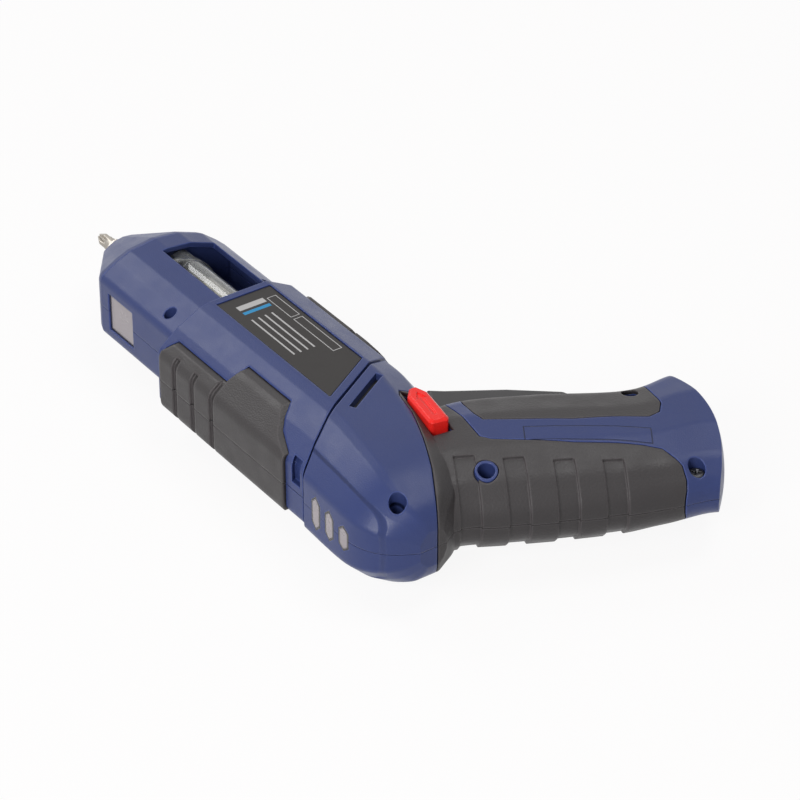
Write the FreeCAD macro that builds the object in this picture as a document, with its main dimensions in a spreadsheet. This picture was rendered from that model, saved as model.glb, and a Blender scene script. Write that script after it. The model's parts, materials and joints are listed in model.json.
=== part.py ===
import FreeCAD, Part
import math
import os
import re
from types import SimpleNamespace

import Sketcher

# Cordless pistol screwdriver lying on its left side. Millimetres.
# Tool axes while building: X forward along the barrel, Y towards the tool's top, Z towards its
# right side. X = 0 is the front edge of the sliding sleeve, Y = 0 and Z = 0 the barrel axis.

SIZES = {
    # sliding sleeve and the housing head behind it
    "sleeve_half_width": 19.5,
    "sleeve_top": 27.6,
    "sleeve_bottom": 27.1,
    "sleeve_wall": 2.4,
    "gap_setback": 62.45,
    "gap_angle": 30.7,
    "gap_width": 1.0,
    "slide_travel": 38.0,
    "slide_clearance": 0.3,
    "pad_depth": 1.3,
    "pad_proud": 1.0,
    "pad_groove_depth": 1.0,
    "pad_groove_width": 2.4,
    "seam_width": 0.35,
    "section_rounding": 3.2,
    # front body with the drum windows, and the nose
    "front_length": 44.0,
    "front_half_width": 17.0,
    "front_top": 21.1,
    "front_bottom": 25.6,
    "front_wall": 1.7,
    "front_rounding": 3.0,
    "nose_length": 20.5,
    "nose_spigot": 4.0,
    "nose_slot_length": 6.5,
    "nose_slot_width": 1.8,
    "nose_slot_depth": 1.5,
    "nose_slot_setback": 4.0,
    "nose_slot_angle": 28.0,
    "window_length": 37.0,
    "window_high": 2.4,
    "window_low": 16.6,
    "top_window_front": 39.5,
    "top_window_rear": 25.4,
    "top_window_half_width": 6.6,
    "top_lens_thickness": 1.2,
    # label plate on the right of the sleeve
    "label_front": 2.6,
    "label_high": 7.6,
    "label_low": 11.4,
    "label_setback": 4.0,
    "label_thickness": 0.6,
    "label_depth": 0.9,
    # housing head and handle
    "head_length": 57.3,
    "head_rise": 1.8,
    "housing_wall": 2.6,
    "grip_depth": 1.3,
    "finger_groove_depth": 0.8,
    "finger_groove_width": 6.2,
    "handle_setback": 95.0,
    "handle_drop": 9.6,
    "handle_rake": 27.0,
    "handle_length": 80.0,
    "handle_half_depth": 25.0,
    "handle_half_thickness": 17.0,
    "handle_rounding": 9.0,
    "butt_radius": 46.0,
    "butt_offset": -1.0,
    "butt_reach": 82.8,
    "vent_width": 2.3,
    "vent_length": 19.0,
    "vent_setback": 5.0,
    "channel_ahead": 1.3,
    "channel_width": 3.6,
    "channel_start": 2.5,
    "channel_end": 10.5,
    "channel_depth": 1.9,
    "gauge_half_width": 2.4,
    "gauge_half_length": 6.1,
    "gauge_first": 86.7,
    "gauge_pitch": 7.2,
    "guide_wall": 2.0,
    "guide_front": 4.0,
    "guide_tail": 9.0,
    "fit_clearance": 0.1,
    "running_clearance": 0.06,
    # screws and their bosses
    "boss_radius": 3.3,
    "screw_head_radius": 2.5,
    "screw_head_height": 2.0,
    "screw_radius": 1.4,
    "screw_seat": 5.0,
    "screw_length": 11.0,
    "small_boss_radius": 2.4,
    "small_head_radius": 1.9,
    "small_screw_radius": 1.0,
    # bit drum and spindle
    "drum_radius": 14.4,
    "drum_hub_radius": 6.0,
    "drum_bore_radius": 4.9,
    "chamber_radius": 3.8,
    "chamber_pitch_radius": 9.9,
    "drum_plate_thickness": 3.0,
    "drum_floor": 2.0,
    "hub_length": 3.5,
    "drum_end_play": 0.3,
    "spindle_radius": 4.2,
    "spindle_front": 62.0,
    "socket_depth": 7.5,
    "bit_width": 6.35,
    "bit_length": 25.0,
    "bit_neck_radius": 2.3,
    "bit_tip_length": 9.0,
    "socket_clearance": 0.1,
    "magnet_radius": 2.5,
    "magnet_length": 3.0,
    "bush_wall": 1.8,
    "nose_bush_length": 8.5,
    # gear train and motor
    "gear_module": 0.5,
    "gear_width": 5.0,
    "carrier_thickness": 3.0,
    "gear_gap": 0.5,
    "carrier_radius": 9.3,
    "pin_radius": 1.0,
    "gear_case_radius": 14.5,
    "gear_case_wall": 1.45,
    "case_front": 5.0,
    "case_front_wall": 8.0,
    "motor_radius": 12.0,
    "motor_length": 28.0,
    "motor_cap_length": 4.5,
    "motor_wall": 1.2,
    "rotor_radius": 9.0,
    "motor_seat": 8.0,
    "shaft_radius": 1.0,
    # battery, electrics
    "cell_radius": 9.15,
    "cell_length": 65.0,
    "cell_start": 3.0,
    "contact_thickness": 0.6,
    "contact_radius": 6.5,
    "rib_thickness": 2.0,
    "board_length": 18.0,
    "board_half_width": 8.5,
    "board_thickness": 1.6,
    "board_height": 20.4,
    "board_start": 88.5,
    "switch_length": 12.8,
    "switch_depth": 5.6,
    "switch_half_width": 3.2,
    "switch_start": 7.5,
    "switch_setback": 17.5,
    "socket_radius": 4.0,
    "socket_bore_radius": 2.75,
    "socket_length": 9.0,
    "socket_bore_length": 7.5,
    "socket_setback": 15.5,
    "socket_foot": 74.2,
    # trigger lever and direction selector
    "trigger_half_width": 6.2,
    "trigger_length": 47.0,
    "trigger_start": 1.5,
    "trigger_reach": 13.0,
    "trigger_clearance": 0.4,
    "trigger_angle": 4.5,
    "pivot_radius": 1.5,
    "pivot_half_length": 10.5,
    "pivot_boss_radius": 3.2,
    "selector_length": 19.0,
    "selector_half_width": 3.2,
    "selector_proud": 3.0,
    "selector_setback": 82.8,
    "selector_drop": 12.6,
    "selector_travel": 1.5,
    "selector_clearance": 0.3,
    "selector_turn": 10.0,
    "selector_bevel": 0.8,
    "selector_rounding": 0.8,
    "selector_flange": 1.5,
    "selector_flange_drop": 6.0,
    # common
    "overrun": 10.0,
}

SUN_TEETH = 9
PLANET_TEETH = 18
RING_TEETH = 45
PLANETS = 3
CHAMBERS = 6
HEAD_STATIONS = 13
HANDLE_STATIONS = 15
PRESSURE_ANGLE = math.radians(20)
ADDENDUM_SHARE = 0.85
DEDENDUM_SHARE = 1.2
BACKLASH_SHARE = 0.22

# Right half of the sleeve's section, top to bottom: shares of half width and half height.
SLEEVE_SECTION_SHARES = [
    (0.46, 1.0), (0.75, 0.737), (0.96, 0.444), (1.0, 0.316), (1.0, -0.448), (0.744, -0.781), (0.31, -1.0),
]
FRONT_SECTION_SHARES = [
    (0.59, 1.0), (0.81, 0.72), (0.925, 0.51), (1.0, 0.12),
    (0.95, -0.25), (0.76, -0.61), (0.52, -0.83), (0.30, -1.0),
]
# Head stations behind the gap: shares of head length, top, rise, bottom, half width.
HEAD_STATION_SHARES = [
    (-0.384, 1.0, 0.0, -1.0, 1.0),
    (-0.008, 1.0, 0.0, -0.963, 1.0),
    (0.266, 1.0, 0.5, -0.797, 1.0),
    (0.505, 1.0, 0.88, -0.6125, 0.99),
    (0.702, 1.0, 1.0, -0.428, 0.94),
    (0.847, 1.0, 0.0, -0.24, 0.795),
    (0.944, 0.786, 0.0, 0.015, 0.59),
    (1.0, 0.572, 0.0, 0.238, 0.31),
]
# Right half of the handle's section, front to back: shares of half depth and half thickness.
HANDLE_SECTION_SHARES = [
    (-1.0, 0.40), (-0.78, 0.86), (-0.30, 1.0), (0.25, 0.94), (0.70, 0.72), (1.0, 0.30),
]
# Handle stations: shares of handle length, half depth to the front and back, half thickness.
HANDLE_STATION_SHARES = [
    (-0.275, -0.40, 0.78, 0.82),
    (-0.075, -0.72, 1.03, 0.96),
    (0.05, -1.04, 0.96, 1.0),
    (0.225, -1.08, 0.99, 1.0),
    (0.425, -1.06, 0.985, 1.0),
    (0.625, -1.02, 0.96, 0.965),
    (0.75, -1.06, 0.912, 0.906),
    (0.825, -1.19, 0.88, 0.885),
    (0.90, -1.34, 0.82, 0.87),
    (1.10, -1.42, 0.76, 0.85),
]
# Soft grip outlines on the handle: shares of half depth and handle length.
GRIP_BACK_SHARES = [
    (1.62, -0.075), (0.96, -0.069), (0.65, -0.066), (0.14, -0.074), (-0.40, -0.0875), (-0.75, -0.12),
    (-0.89, -0.115), (-1.11, -0.01), (-1.6, 0.0), (-1.6, 0.03), (-0.70, 0.046), (0.056, 0.131),
    (0.124, 0.171), (0.28, 0.464), (0.352, 0.721), (0.396, 0.783), (0.608, 0.8425), (0.736, 0.851),
    (0.82, 0.8475), (1.6, 0.72),
]
GRIP_FRONT_SHARES = [
    (-0.70, 0.11), (-0.376, 0.1375), (-0.256, 0.1625), (-0.144, 0.4875), (-0.156, 0.769),
    (-0.236, 0.81), (-0.40, 0.825), (-0.836, 0.796), (-1.6, 0.745), (-1.6, 0.11),
]
# Pad outlines seen from the tool's top and underside: shares of the gap setback and half width.
PAD_TOP_SHARES = [
    (-0.0345, 0.0), (-0.0345, 0.52), (-0.074, 0.64), (-0.502, 0.64), (-0.532, 0.84), (-0.886, 0.84),
    (-0.985, 0.62), (-1.103, 0.5), (-1.103, 0.0),
]
PAD_BOTTOM_SHARES = [
    (-0.049, 0.0), (-0.049, 0.55), (-0.118, 0.68), (-0.591, 0.68), (-0.65, 0.55), (-0.65, 0.0),
]
# Pad grooves: shares of the gap setback, and of half width at the groove's end.
PAD_GROOVE_SHARES = [(-0.167, 0.56), (-0.325, 0.56), (-0.4925, 1.1)]
# Finger grooves on the back grip: shares of handle length, and of half depth at the groove's end.
FINGER_GROOVE_SHARES = [(0.061, 0.336), (0.2375, 0.412), (0.416, 0.492), (0.594, 0.536)]
# Trigger side outline: shares of its reach (forwards) and its length (down the handle).
TRIGGER_SHARES = [
    (-1.07, 0.0), (-0.99, 0.11), (-0.85, 0.5), (-0.6, 0.82), (-0.05, 0.97), (0.50, 1.0),
    (0.80, 0.94), (0.72, 0.86), (0.40, 0.78), (0.30, 0.06), (-0.2, 0.0),
]
TRIGGER_PIVOT_SHARES = (0.50, 0.92)
HEAD_SCREW_SHARES = [(0.856, 0.641)]
HANDLE_SCREW_SHARES = [(0.564, 0.1325), (0.60, 0.8975), (-0.712, 0.731)]
SLIDE_SCREW_SHARES = [(0.24, 0.7725), (0.24, -0.91)]
RIB_SHARES = (0.33, 0.76)
LEDGE_SHARES = (0.2, 0.8)
GAUGE_LENGTH_SHARES = (1.0, 0.9, 0.74)
GAUGE_CORNER_SHARE = 0.6
# Nose stations: shares of nose length, width and height.
NOSE_STATION_SHARES = [(0.0, 1.0, 1.0), (0.10, 0.965, 0.965), (0.85, 0.52, 0.46), (1.0, 0.43, 0.36)]
NOSE_CAVITY_SHARES = (0.1, 0.6, 0.62)
BIT_TIP_SHARE = 0.35
# Selector plan and its arrow, forwards and across: shares of half length and half width.
SELECTOR_SHARES = [(1.0, 0.30), (0.62, 1.0), (-0.88, 1.0), (-1.0, 0.8)]
ARROW_SHARES = [(0.74, 0.0), (0.34, 0.64), (0.34, 0.24), (-0.72, 0.24)]

doc = FreeCAD.newDocument("screwdriver")
sheet = doc.addObject("Spreadsheet::Sheet", "Sizes")
for row, (alias, value) in enumerate(SIZES.items(), start=1):
    sheet.set(f"A{row}", alias)
    sheet.set(f"B{row}", str(value))
    sheet.setAlias(f"B{row}", alias)
doc.recompute()
size = SimpleNamespace(**{alias: float(getattr(sheet, alias)) for alias in SIZES})

X_AXIS = FreeCAD.Vector(1, 0, 0)
Y_AXIS = FreeCAD.Vector(0, 1, 0)
Z_AXIS = FreeCAD.Vector(0, 0, 1)
ORIGIN = FreeCAD.Vector(0, 0, 0)
parts = {}


def bound(text):
    """A formula in size names, written as an expression on the sheet."""
    return re.sub(r"[a-z_]+", lambda word: f"Sizes.{word[0]}" if word[0] in SIZES else word[0], text)


def keep(label, obj):
    obj.Label = label
    parts[label] = obj
    return obj


def shape_part(label, shape):
    """A sub-part whose form comes from lofts, sections or gear outlines."""
    obj = doc.addObject("Part::Feature", label)
    obj.Shape = shape.removeSplitter()
    return keep(label, obj)


def origin_feature(body, role):
    return next(item for item in body.Origin.OriginFeatures if item.Role == role)


def outline_sketch(body, plane, corners):
    """A closed outline whose corner coordinates are bound to formulas."""
    sketch = body.newObject("Sketcher::SketchObject", body.Label + "_outline")
    sketch.AttachmentSupport = [(origin_feature(body, plane), "")]
    sketch.MapMode = "FlatFace"
    count = len(corners)
    start = [
        FreeCAD.Vector(math.cos(2 * math.pi * i / count), math.sin(2 * math.pi * i / count), 0)
        for i in range(count)
    ]
    for i in range(count):
        sketch.addGeometry(Part.LineSegment(start[i], start[(i + 1) % count]))
    for i in range(count):
        sketch.addConstraint(Sketcher.Constraint("Coincident", i, 2, (i + 1) % count, 1))
    for i, (across, up) in enumerate(corners):
        for kind, formula, axis in (("DistanceX", across, -2), ("DistanceY", up, -1)):
            if formula == "0":
                sketch.addConstraint(Sketcher.Constraint("PointOnObject", i, 1, axis))
            else:
                here = start[i].x if kind == "DistanceX" else start[i].y
                at = sketch.addConstraint(Sketcher.Constraint(kind, -1, 1, i, 1, here))
                sketch.setExpression(f"Constraints[{at}]", bound(formula))
    return sketch


def turned(label, corners):
    """A piece turned about the barrel axis, from corners given as (along, radius)."""
    body = keep(label, doc.addObject("PartDesign::Body", label))
    sketch = outline_sketch(body, "XY_Plane", corners)
    turn = body.newObject("PartDesign::Revolution", label + "_turn")
    turn.Profile = sketch
    turn.ReferenceAxis = (origin_feature(body, "X_Axis"), [""])
    turn.Angle = 360
    return body


def padded(label, plane, corners, thickness):
    """A flat piece, padded equally to both sides of its plane."""
    body = keep(label, doc.addObject("PartDesign::Body", label))
    sketch = outline_sketch(body, plane, corners)
    pad = body.newObject("PartDesign::Pad", label + "_pad")
    pad.Profile = sketch
    pad.Midplane = True
    pad.setExpression("Length", bound(thickness))
    return body


def rounded_wire(corners, radius):
    """A closed planar wire with every corner rounded by an arc."""
    count = len(corners)
    arcs = []
    for i, corner in enumerate(corners):
        before = (corners[i - 1] - corner).normalize()
        after = (corners[(i + 1) % count] - corner).normalize()
        half = before.getAngle(after) / 2
        reach = radius / math.tan(half)
        middle = corner + (before + after).normalize() * (radius / math.sin(half) - radius)
        arcs.append((corner + before * reach, middle, corner + after * reach))
    edges = []
    for i, (start, middle, end) in enumerate(arcs):
        edges.append(Part.Arc(start, middle, end).toShape())
        edges.append(Part.LineSegment(end, arcs[(i + 1) % count][0]).toShape())
    return Part.Wire(edges)


def inset(outline, depth):
    """A convex outline of (across, up) pairs, drawn in by a depth."""
    count = len(outline)
    middle = FreeCAD.Vector(sum(p[0] for p in outline) / count, sum(p[1] for p in outline) / count, 0)
    lines = []
    for i in range(count):
        start = FreeCAD.Vector(*outline[i], 0)
        along = (FreeCAD.Vector(*outline[(i + 1) % count], 0) - start).normalize()
        inward = FreeCAD.Vector(-along.y, along.x, 0)
        if inward.dot(middle - start) < 0:
            inward = inward * -1
        lines.append((start + inward * depth, along))
    corners = []
    for i in range(count):
        start, along = lines[i - 1]
        other, across = lines[i]
        reach = (other - start).cross(across).z / along.cross(across).z
        corners.append((start.x + along.x * reach, start.y + along.y * reach))
    return corners


def mirrored(half):
    return half + [(-across, up) for across, up in reversed(half)]


def section(shares, half_width, top, bottom):
    centre = (top + bottom) / 2
    half_height = (top - bottom) / 2
    return mirrored([(a * half_width, centre + b * half_height) for a, b in shares])


def section_wire(outline, along, radius):
    return rounded_wire([FreeCAD.Vector(along, up, across) for across, up in outline], radius)


def prism(outline, start, end, radius):
    face = Part.Face(section_wire(outline, start, radius))
    return face.extrude(X_AXIS * (end - start))


def sleeve_outline(depth):
    full = section(SLEEVE_SECTION_SHARES, size.sleeve_half_width, size.sleeve_top, -size.sleeve_bottom)
    return inset(full, depth)


def front_outline(depth):
    full = section(FRONT_SECTION_SHARES, size.front_half_width, size.front_top, -size.front_bottom)
    return inset(full, depth)


def rounding_at(radius, depth):
    return max(radius - depth, radius / 4)


def even_stations(stations, count):
    """Stations of a table set out again at even steps along its first column."""
    first = stations[0][0]
    last = stations[-1][0]
    spread = []
    for step in range(count):
        at = first + (last - first) * step / (count - 1)
        low = max(i for i in range(len(stations) - 1) if stations[i][0] <= at or i == 0)
        start, end = stations[low], stations[low + 1]
        share = (at - start[0]) / (end[0] - start[0])
        spread.append([a + (b - a) * share for a, b in zip(start, end)])
    return spread


def head_form(depth, stations):
    wires = []
    for along, top, rise, bottom, width in even_stations(stations, HEAD_STATIONS):
        outline = section(
            SLEEVE_SECTION_SHARES, width * size.sleeve_half_width,
            top * size.sleeve_top + rise * size.head_rise, bottom * size.sleeve_bottom,
        )
        radius = rounding_at(size.section_rounding * width, depth)
        place = -size.gap_setback - along * size.head_length
        wires.append(section_wire(inset(outline, depth), place, radius))
    return Part.makeLoft(wires, True, False)


RAKE = math.radians(size.handle_rake)
HANDLE_ROOT = FreeCAD.Vector(-size.handle_setback, -size.handle_drop, 0)
HANDLE_BACK = FreeCAD.Vector(-math.cos(RAKE), math.sin(RAKE), 0)
HANDLE_DOWN = FreeCAD.Vector(-math.sin(RAKE), -math.cos(RAKE), 0)


def on_handle(back, down, right=0.0):
    """A point given by its distances back from, down and right of the handle's root."""
    return HANDLE_ROOT + HANDLE_BACK * back + HANDLE_DOWN * down + Z_AXIS * right


def handle_form(depth, stations):
    wires = []
    for down, front, back, thick in even_stations(stations, HANDLE_STATIONS):
        half = thick * size.handle_half_thickness
        middle = (front + back) / 2 * size.handle_half_depth
        reach = (back - front) / 2 * size.handle_half_depth
        right = [(middle + a * reach, b * half) for a, b in HANDLE_SECTION_SHARES]
        outline = inset(right + [(a, -b) for a, b in reversed(right)], depth)
        corners = [on_handle(back_at, down * size.handle_length, side) for back_at, side in outline]
        wires.append(rounded_wire(corners, rounding_at(size.handle_rounding * thick, depth)))
    return Part.makeLoft(wires, True, False)


REACH = size.gap_setback + size.head_length + size.handle_length + size.front_length


def half_space(point, normal):
    """A block that fills everything on the normal's side of a plane."""
    block = Part.makeBox(REACH, 2 * REACH, 2 * REACH, FreeCAD.Vector(0, -REACH, -REACH))
    block.Placement = FreeCAD.Placement(point, FreeCAD.Rotation(X_AXIS, normal))
    return block


GAP_NORMAL = FreeCAD.Vector(
    math.cos(math.radians(size.gap_angle)), math.sin(math.radians(size.gap_angle)), 0)
GAP_POINT = FreeCAD.Vector(-size.gap_setback, 0, 0)
RIGHT_HALF = half_space(ORIGIN, Z_AXIS)
LEFT_HALF = half_space(ORIGIN, Z_AXIS * -1)
BUTT_MIDDLE = on_handle(size.butt_offset, size.butt_reach - size.butt_radius)


def behind_gap(setback):
    return half_space(GAP_POINT - GAP_NORMAL * setback, GAP_NORMAL * -1)


def housing_form(depth):
    """Head and handle as one closed form, drawn in by a depth, behind the slanted gap."""
    head = head_form(depth, HEAD_STATION_SHARES)
    if depth:
        end = FreeCAD.Vector(-size.gap_setback - size.head_length + depth, 0, 0)
        head = head.cut(half_space(end, X_AXIS * -1))
    handle = handle_form(depth, HANDLE_STATION_SHARES)
    form = head.fuse(handle).common(behind_gap(size.gap_width / 2))
    beyond = half_space(on_handle(0, size.handle_length / 2), HANDLE_DOWN)
    return form.cut(beyond.cut(Part.makeSphere(size.butt_radius - depth, BUTT_MIDDLE)))


def grown(points, margin):
    """A flat face from an outline of points, widened by a margin."""
    face = Part.Face(Part.makePolygon(points + points[:1]))
    return face.makeOffset2D(margin) if margin else face


def side_prism(points, margin=0.0):
    """A block through the whole tool from a side outline of points."""
    low = FreeCAD.Vector(0, 0, -REACH)
    return grown([point + low for point in points], margin).extrude(Z_AXIS * (2 * REACH))


def handle_region(shares, margin=0.0):
    points = [
        on_handle(back * size.handle_half_depth, down * size.handle_length) for back, down in shares]
    return side_prism(points, margin)


def bar(point, radius, low, high):
    """A round bar along Z through a point of the side view."""
    return Part.makeCylinder(radius, high - low, FreeCAD.Vector(point.x, point.y, low), Z_AXIS)


def handle_block(back, down, right):
    """A block squared to the handle, from (low, high) pairs."""
    block = Part.makeBox(back[1] - back[0], down[1] - down[0], right[1] - right[0])
    turn = FreeCAD.Matrix(
        HANDLE_BACK.x, HANDLE_DOWN.x, 0, 0, HANDLE_BACK.y, HANDLE_DOWN.y, 0, 0, 0, 0, 1, 0, 0, 0, 0, 1)
    block.Placement = FreeCAD.Placement(
        on_handle(back[0], down[0], right[0]), FreeCAD.Rotation(turn))
    return block


# Housing: two shells from one closed form, with the soft grips let into their outside.
outer = housing_form(0)
floor = housing_form(size.grip_depth)
cavity = housing_form(size.housing_wall)
skin = outer.cut(floor)
wall = outer.cut(cavity)
back_grip = skin.common(handle_region(GRIP_BACK_SHARES))
front_grip = skin.common(handle_region(GRIP_FRONT_SHARES))
back_recess = skin.common(handle_region(GRIP_BACK_SHARES, size.seam_width))
front_recess = skin.common(handle_region(GRIP_FRONT_SHARES, size.seam_width))

head_screws = [
    FreeCAD.Vector(-size.gap_setback - along * size.head_length, up * size.sleeve_top, 0)
    for along, up in HEAD_SCREW_SHARES
]
handle_screws = [
    on_handle(back * size.handle_half_depth, down * size.handle_length)
    for back, down in HANDLE_SCREW_SHARES
]


def gauge_prism(number, shrink):
    """An upright prism with a long six-sided outline for one gauge window."""
    along = -size.gauge_first - number * size.gauge_pitch
    half = size.gauge_half_width - shrink
    reach = size.gauge_half_length * GAUGE_LENGTH_SHARES[number] - shrink
    corner = reach * GAUGE_CORNER_SHARE
    plan = [(0, reach), (half, corner), (half, -corner), (0, -reach), (-half, -corner), (-half, corner)]
    points = [FreeCAD.Vector(along + x, size.board_height, z) for x, z in plan]
    return Part.Face(Part.makePolygon(points + points[:1])).extrude(Y_AXIS * REACH)


def screw_shapes(point, boss, head, shank):
    """Boss, clearance holes and screw, all along Z through one point of the side view."""
    play = size.fit_clearance
    seat = size.screw_seat
    top = seat + size.screw_head_height
    tip = seat - size.screw_length
    post = bar(point, boss, -REACH, REACH)
    holes = bar(point, head + play, seat, REACH).fuse(bar(point, shank + play, 0, seat))
    holes = holes.fuse(bar(point, shank, tip - play, 0))
    screw = bar(point, head, seat, top).fuse(bar(point, shank, tip, seat))
    for turn in (X_AXIS, Y_AXIS):
        other = Z_AXIS.cross(turn)
        middle = FreeCAD.Vector(point.x, point.y, top - size.small_screw_radius)
        corner = middle - turn * (shank + play) - other * (shank / 4)
        cross = Part.makeBox(2 * (shank + play), shank / 2, size.overrun)
        cross.Placement = FreeCAD.Placement(corner, FreeCAD.Rotation(turn, other, Z_AXIS, "XYZ"))
        screw = screw.cut(cross)
    return post, holes, screw


gauge_seats = [skin.common(gauge_prism(number, 0)) for number in range(len(GAUGE_LENGTH_SHARES))]
shape_part("gauge_lenses", Part.Compound(gauge_seats))

# Slot for the trigger, with room above it for the lever's swing.
trigger_front = -HANDLE_STATION_SHARES[2][1] * size.handle_half_depth
slot_half = size.trigger_half_width + size.trigger_clearance
trigger_slot = handle_block(
    (-trigger_front - size.overrun, -trigger_front + size.trigger_reach),
    (-size.trigger_start, size.trigger_start + size.trigger_length + size.trigger_clearance),
    (-slot_half, slot_half),
)


def trigger_point(forward, down):
    return on_handle(
        -trigger_front + forward * size.trigger_reach, size.trigger_start + down * size.trigger_length)


PIVOT = trigger_point(*TRIGGER_PIVOT_SHARES)
trigger_points = [trigger_point(*share) for share in TRIGGER_SHARES]
lift = Z_AXIS * -size.trigger_half_width
trigger_face = Part.Face(Part.makePolygon([p + lift for p in trigger_points + trigger_points[:1]]))
lever = trigger_face.extrude(Z_AXIS * (2 * size.trigger_half_width))
long_edges = [
    edge for edge in lever.Edges
    if abs(edge.tangentAt(edge.FirstParameter).z) < size.fit_clearance
    and edge.CenterOfMass.distanceToPoint(PIVOT) > size.trigger_reach
    and (edge.CenterOfMass - on_handle(-trigger_front, 0)).dot(HANDLE_BACK) < -size.pivot_radius
]
lever = lever.makeFillet(size.pivot_radius, long_edges)
lever = lever.cut(bar(PIVOT, size.pivot_radius + size.running_clearance, -REACH, REACH))
shape_part("trigger", lever)

# Direction selector: flange, stem and bevelled button, and the slot it slides in.
SELECTOR_TURN = math.radians(size.selector_turn)
SELECTOR_ALONG = FreeCAD.Vector(math.cos(SELECTOR_TURN), -math.sin(SELECTOR_TURN), 0)
SELECTOR_ACROSS = Z_AXIS.cross(SELECTOR_ALONG)
SELECTOR_MIDDLE = FreeCAD.Vector(-size.selector_setback, -size.selector_drop, 0)
flange_low = size.handle_half_thickness - size.selector_flange_drop


def selector_plan(shares, half_length, half_width, height):
    """An outline set on the selector's own axes, from shares of its half length and half width."""
    both = shares + [(a, -b) for a, b in reversed(shares) if b]
    return [
        SELECTOR_MIDDLE + SELECTOR_ALONG * (a * half_length) + SELECTOR_ACROSS * (b * half_width)
        + Z_AXIS * height
        for a, b in both
    ]


def selector_block(half_length, half_width, low, high):
    points = selector_plan([(1, 1), (-1, 1)], half_length, half_width, low)
    return grown(points, 0).extrude(Z_AXIS * (high - low))


half_length = size.selector_length / 2
half_width = size.selector_half_width
slot_reach = half_length + size.selector_travel + size.selector_clearance
flange_width = half_width + size.selector_flange
selector_slot = selector_block(slot_reach, half_width + size.selector_clearance, 0, REACH)
selector_slot = selector_slot.fuse(selector_block(
    slot_reach, flange_width + size.selector_clearance,
    0, flange_low + size.selector_flange + size.selector_clearance))
selector_top = size.handle_half_thickness + size.selector_proud
shoulder = selector_top - size.selector_bevel
foot_plan = selector_plan(SELECTOR_SHARES, half_length, half_width, flange_low)
stem = Part.Face(rounded_wire(foot_plan, size.selector_rounding)).extrude(Z_AXIS * (shoulder - flange_low))
low_plan = selector_plan(SELECTOR_SHARES, half_length, half_width, shoulder)
high_plan = selector_plan(
    SELECTOR_SHARES, half_length - size.selector_bevel, half_width - size.selector_bevel, selector_top)
crown = Part.makeLoft(
    [rounded_wire(low_plan, size.selector_rounding), rounded_wire(high_plan, size.selector_rounding / 2)],
    True, True)
arrow = grown(selector_plan(
    ARROW_SHARES, half_length - size.selector_bevel, half_width - size.selector_bevel,
    selector_top - size.selector_bevel / 2), 0).extrude(Z_AXIS * size.overrun)
flange = selector_block(half_length, flange_width, flange_low, flange_low + size.selector_flange)
shape_part("selector", stem.fuse(crown).fuse(flange).cut(arrow))

# Vent slots beside the gap, on both sides.
vent_middle = GAP_POINT - GAP_NORMAL * size.vent_setback
vent_along = Z_AXIS.cross(GAP_NORMAL)
vent_points = [
    vent_middle + vent_along * (a * size.vent_length / 2) + GAP_NORMAL * (b * size.vent_width / 2)
    for a, b in ((-1, -1), (1, -1), (1, 1), (-1, 1))
]
vents = side_prism(vent_points).cut(
    Part.makeBox(2 * REACH, 2 * REACH, 2 * size.gear_case_radius,
                 FreeCAD.Vector(-REACH, -REACH, -size.gear_case_radius)))

# Charging socket in the butt.
socket_foot = on_handle(-size.socket_setback, size.socket_foot)
socket_hole = Part.makeCylinder(
    size.socket_radius + size.fit_clearance, size.socket_length + size.overrun,
    socket_foot + HANDLE_DOWN * size.overrun, HANDLE_DOWN * -1)
socket = Part.makeCylinder(size.socket_radius, size.socket_length, socket_foot, HANDLE_DOWN * -1)
socket = socket.cut(Part.makeCylinder(
    size.socket_bore_radius, size.socket_bore_length, socket_foot, HANDLE_DOWN * -1))
shape_part("charge_socket", socket)

# Inside supports: cell ribs, board ledges, switch posts and pivot bosses.
cell_top = on_handle(0, size.cell_start)
cell_bore = Part.makeCylinder(
    size.cell_radius + size.fit_clearance, size.cell_length, cell_top, HANDLE_DOWN)
inside = []
for share in RIB_SHARES:
    down = share * size.handle_length
    rib = handle_block(
        (-size.cell_radius, 2 * size.cell_radius + size.rib_thickness),
        (down, down + size.rib_thickness),
        (-size.handle_half_thickness, size.handle_half_thickness),
    )
    inside.append(rib.cut(cell_bore))
for down in (size.cell_start - size.contact_thickness - size.rib_thickness,
             size.cell_start + size.cell_length + size.contact_thickness):
    inside.append(handle_block(
        (-size.contact_radius, size.contact_radius),
        (down, down + size.rib_thickness),
        (-size.handle_half_thickness, size.handle_half_thickness),
    ))
for share in LEDGE_SHARES:
    along = -size.board_start - share * size.board_length
    ledge = Part.makeBox(
        size.rib_thickness, size.rib_thickness, 2 * size.handle_half_thickness,
        FreeCAD.Vector(along - size.rib_thickness / 2, size.board_height - size.rib_thickness,
                       -size.handle_half_thickness))
    gap = Part.makeBox(
        2 * size.rib_thickness, 2 * size.rib_thickness, 2 * (size.board_half_width - size.rib_thickness),
        FreeCAD.Vector(along - size.rib_thickness, size.board_height - 2 * size.rib_thickness,
                       -size.board_half_width + size.rib_thickness))
    inside.append(ledge.cut(gap))
switch_middle = size.switch_start + size.switch_length / 2
for side in (-1, 1):
    ends = sorted((side * size.switch_half_width, side * size.handle_half_thickness))
    inside.append(handle_block(
        (-size.switch_setback, -size.switch_setback + size.switch_depth),
        (switch_middle, switch_middle + size.rib_thickness),
        ends,
    ))
    ends = sorted((side * slot_half, side * size.handle_half_thickness))
    inside.append(bar(PIVOT, size.pivot_boss_radius, *ends))

screws = []
holes = []
for point in head_screws + handle_screws:
    post, hole, screw = screw_shapes(
        point, size.boss_radius, size.screw_head_radius, size.screw_radius)
    inside.append(post)
    holes.append(hole)
    screws.append(screw)
shape_part("housing_screws", Part.Compound(screws))

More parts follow.
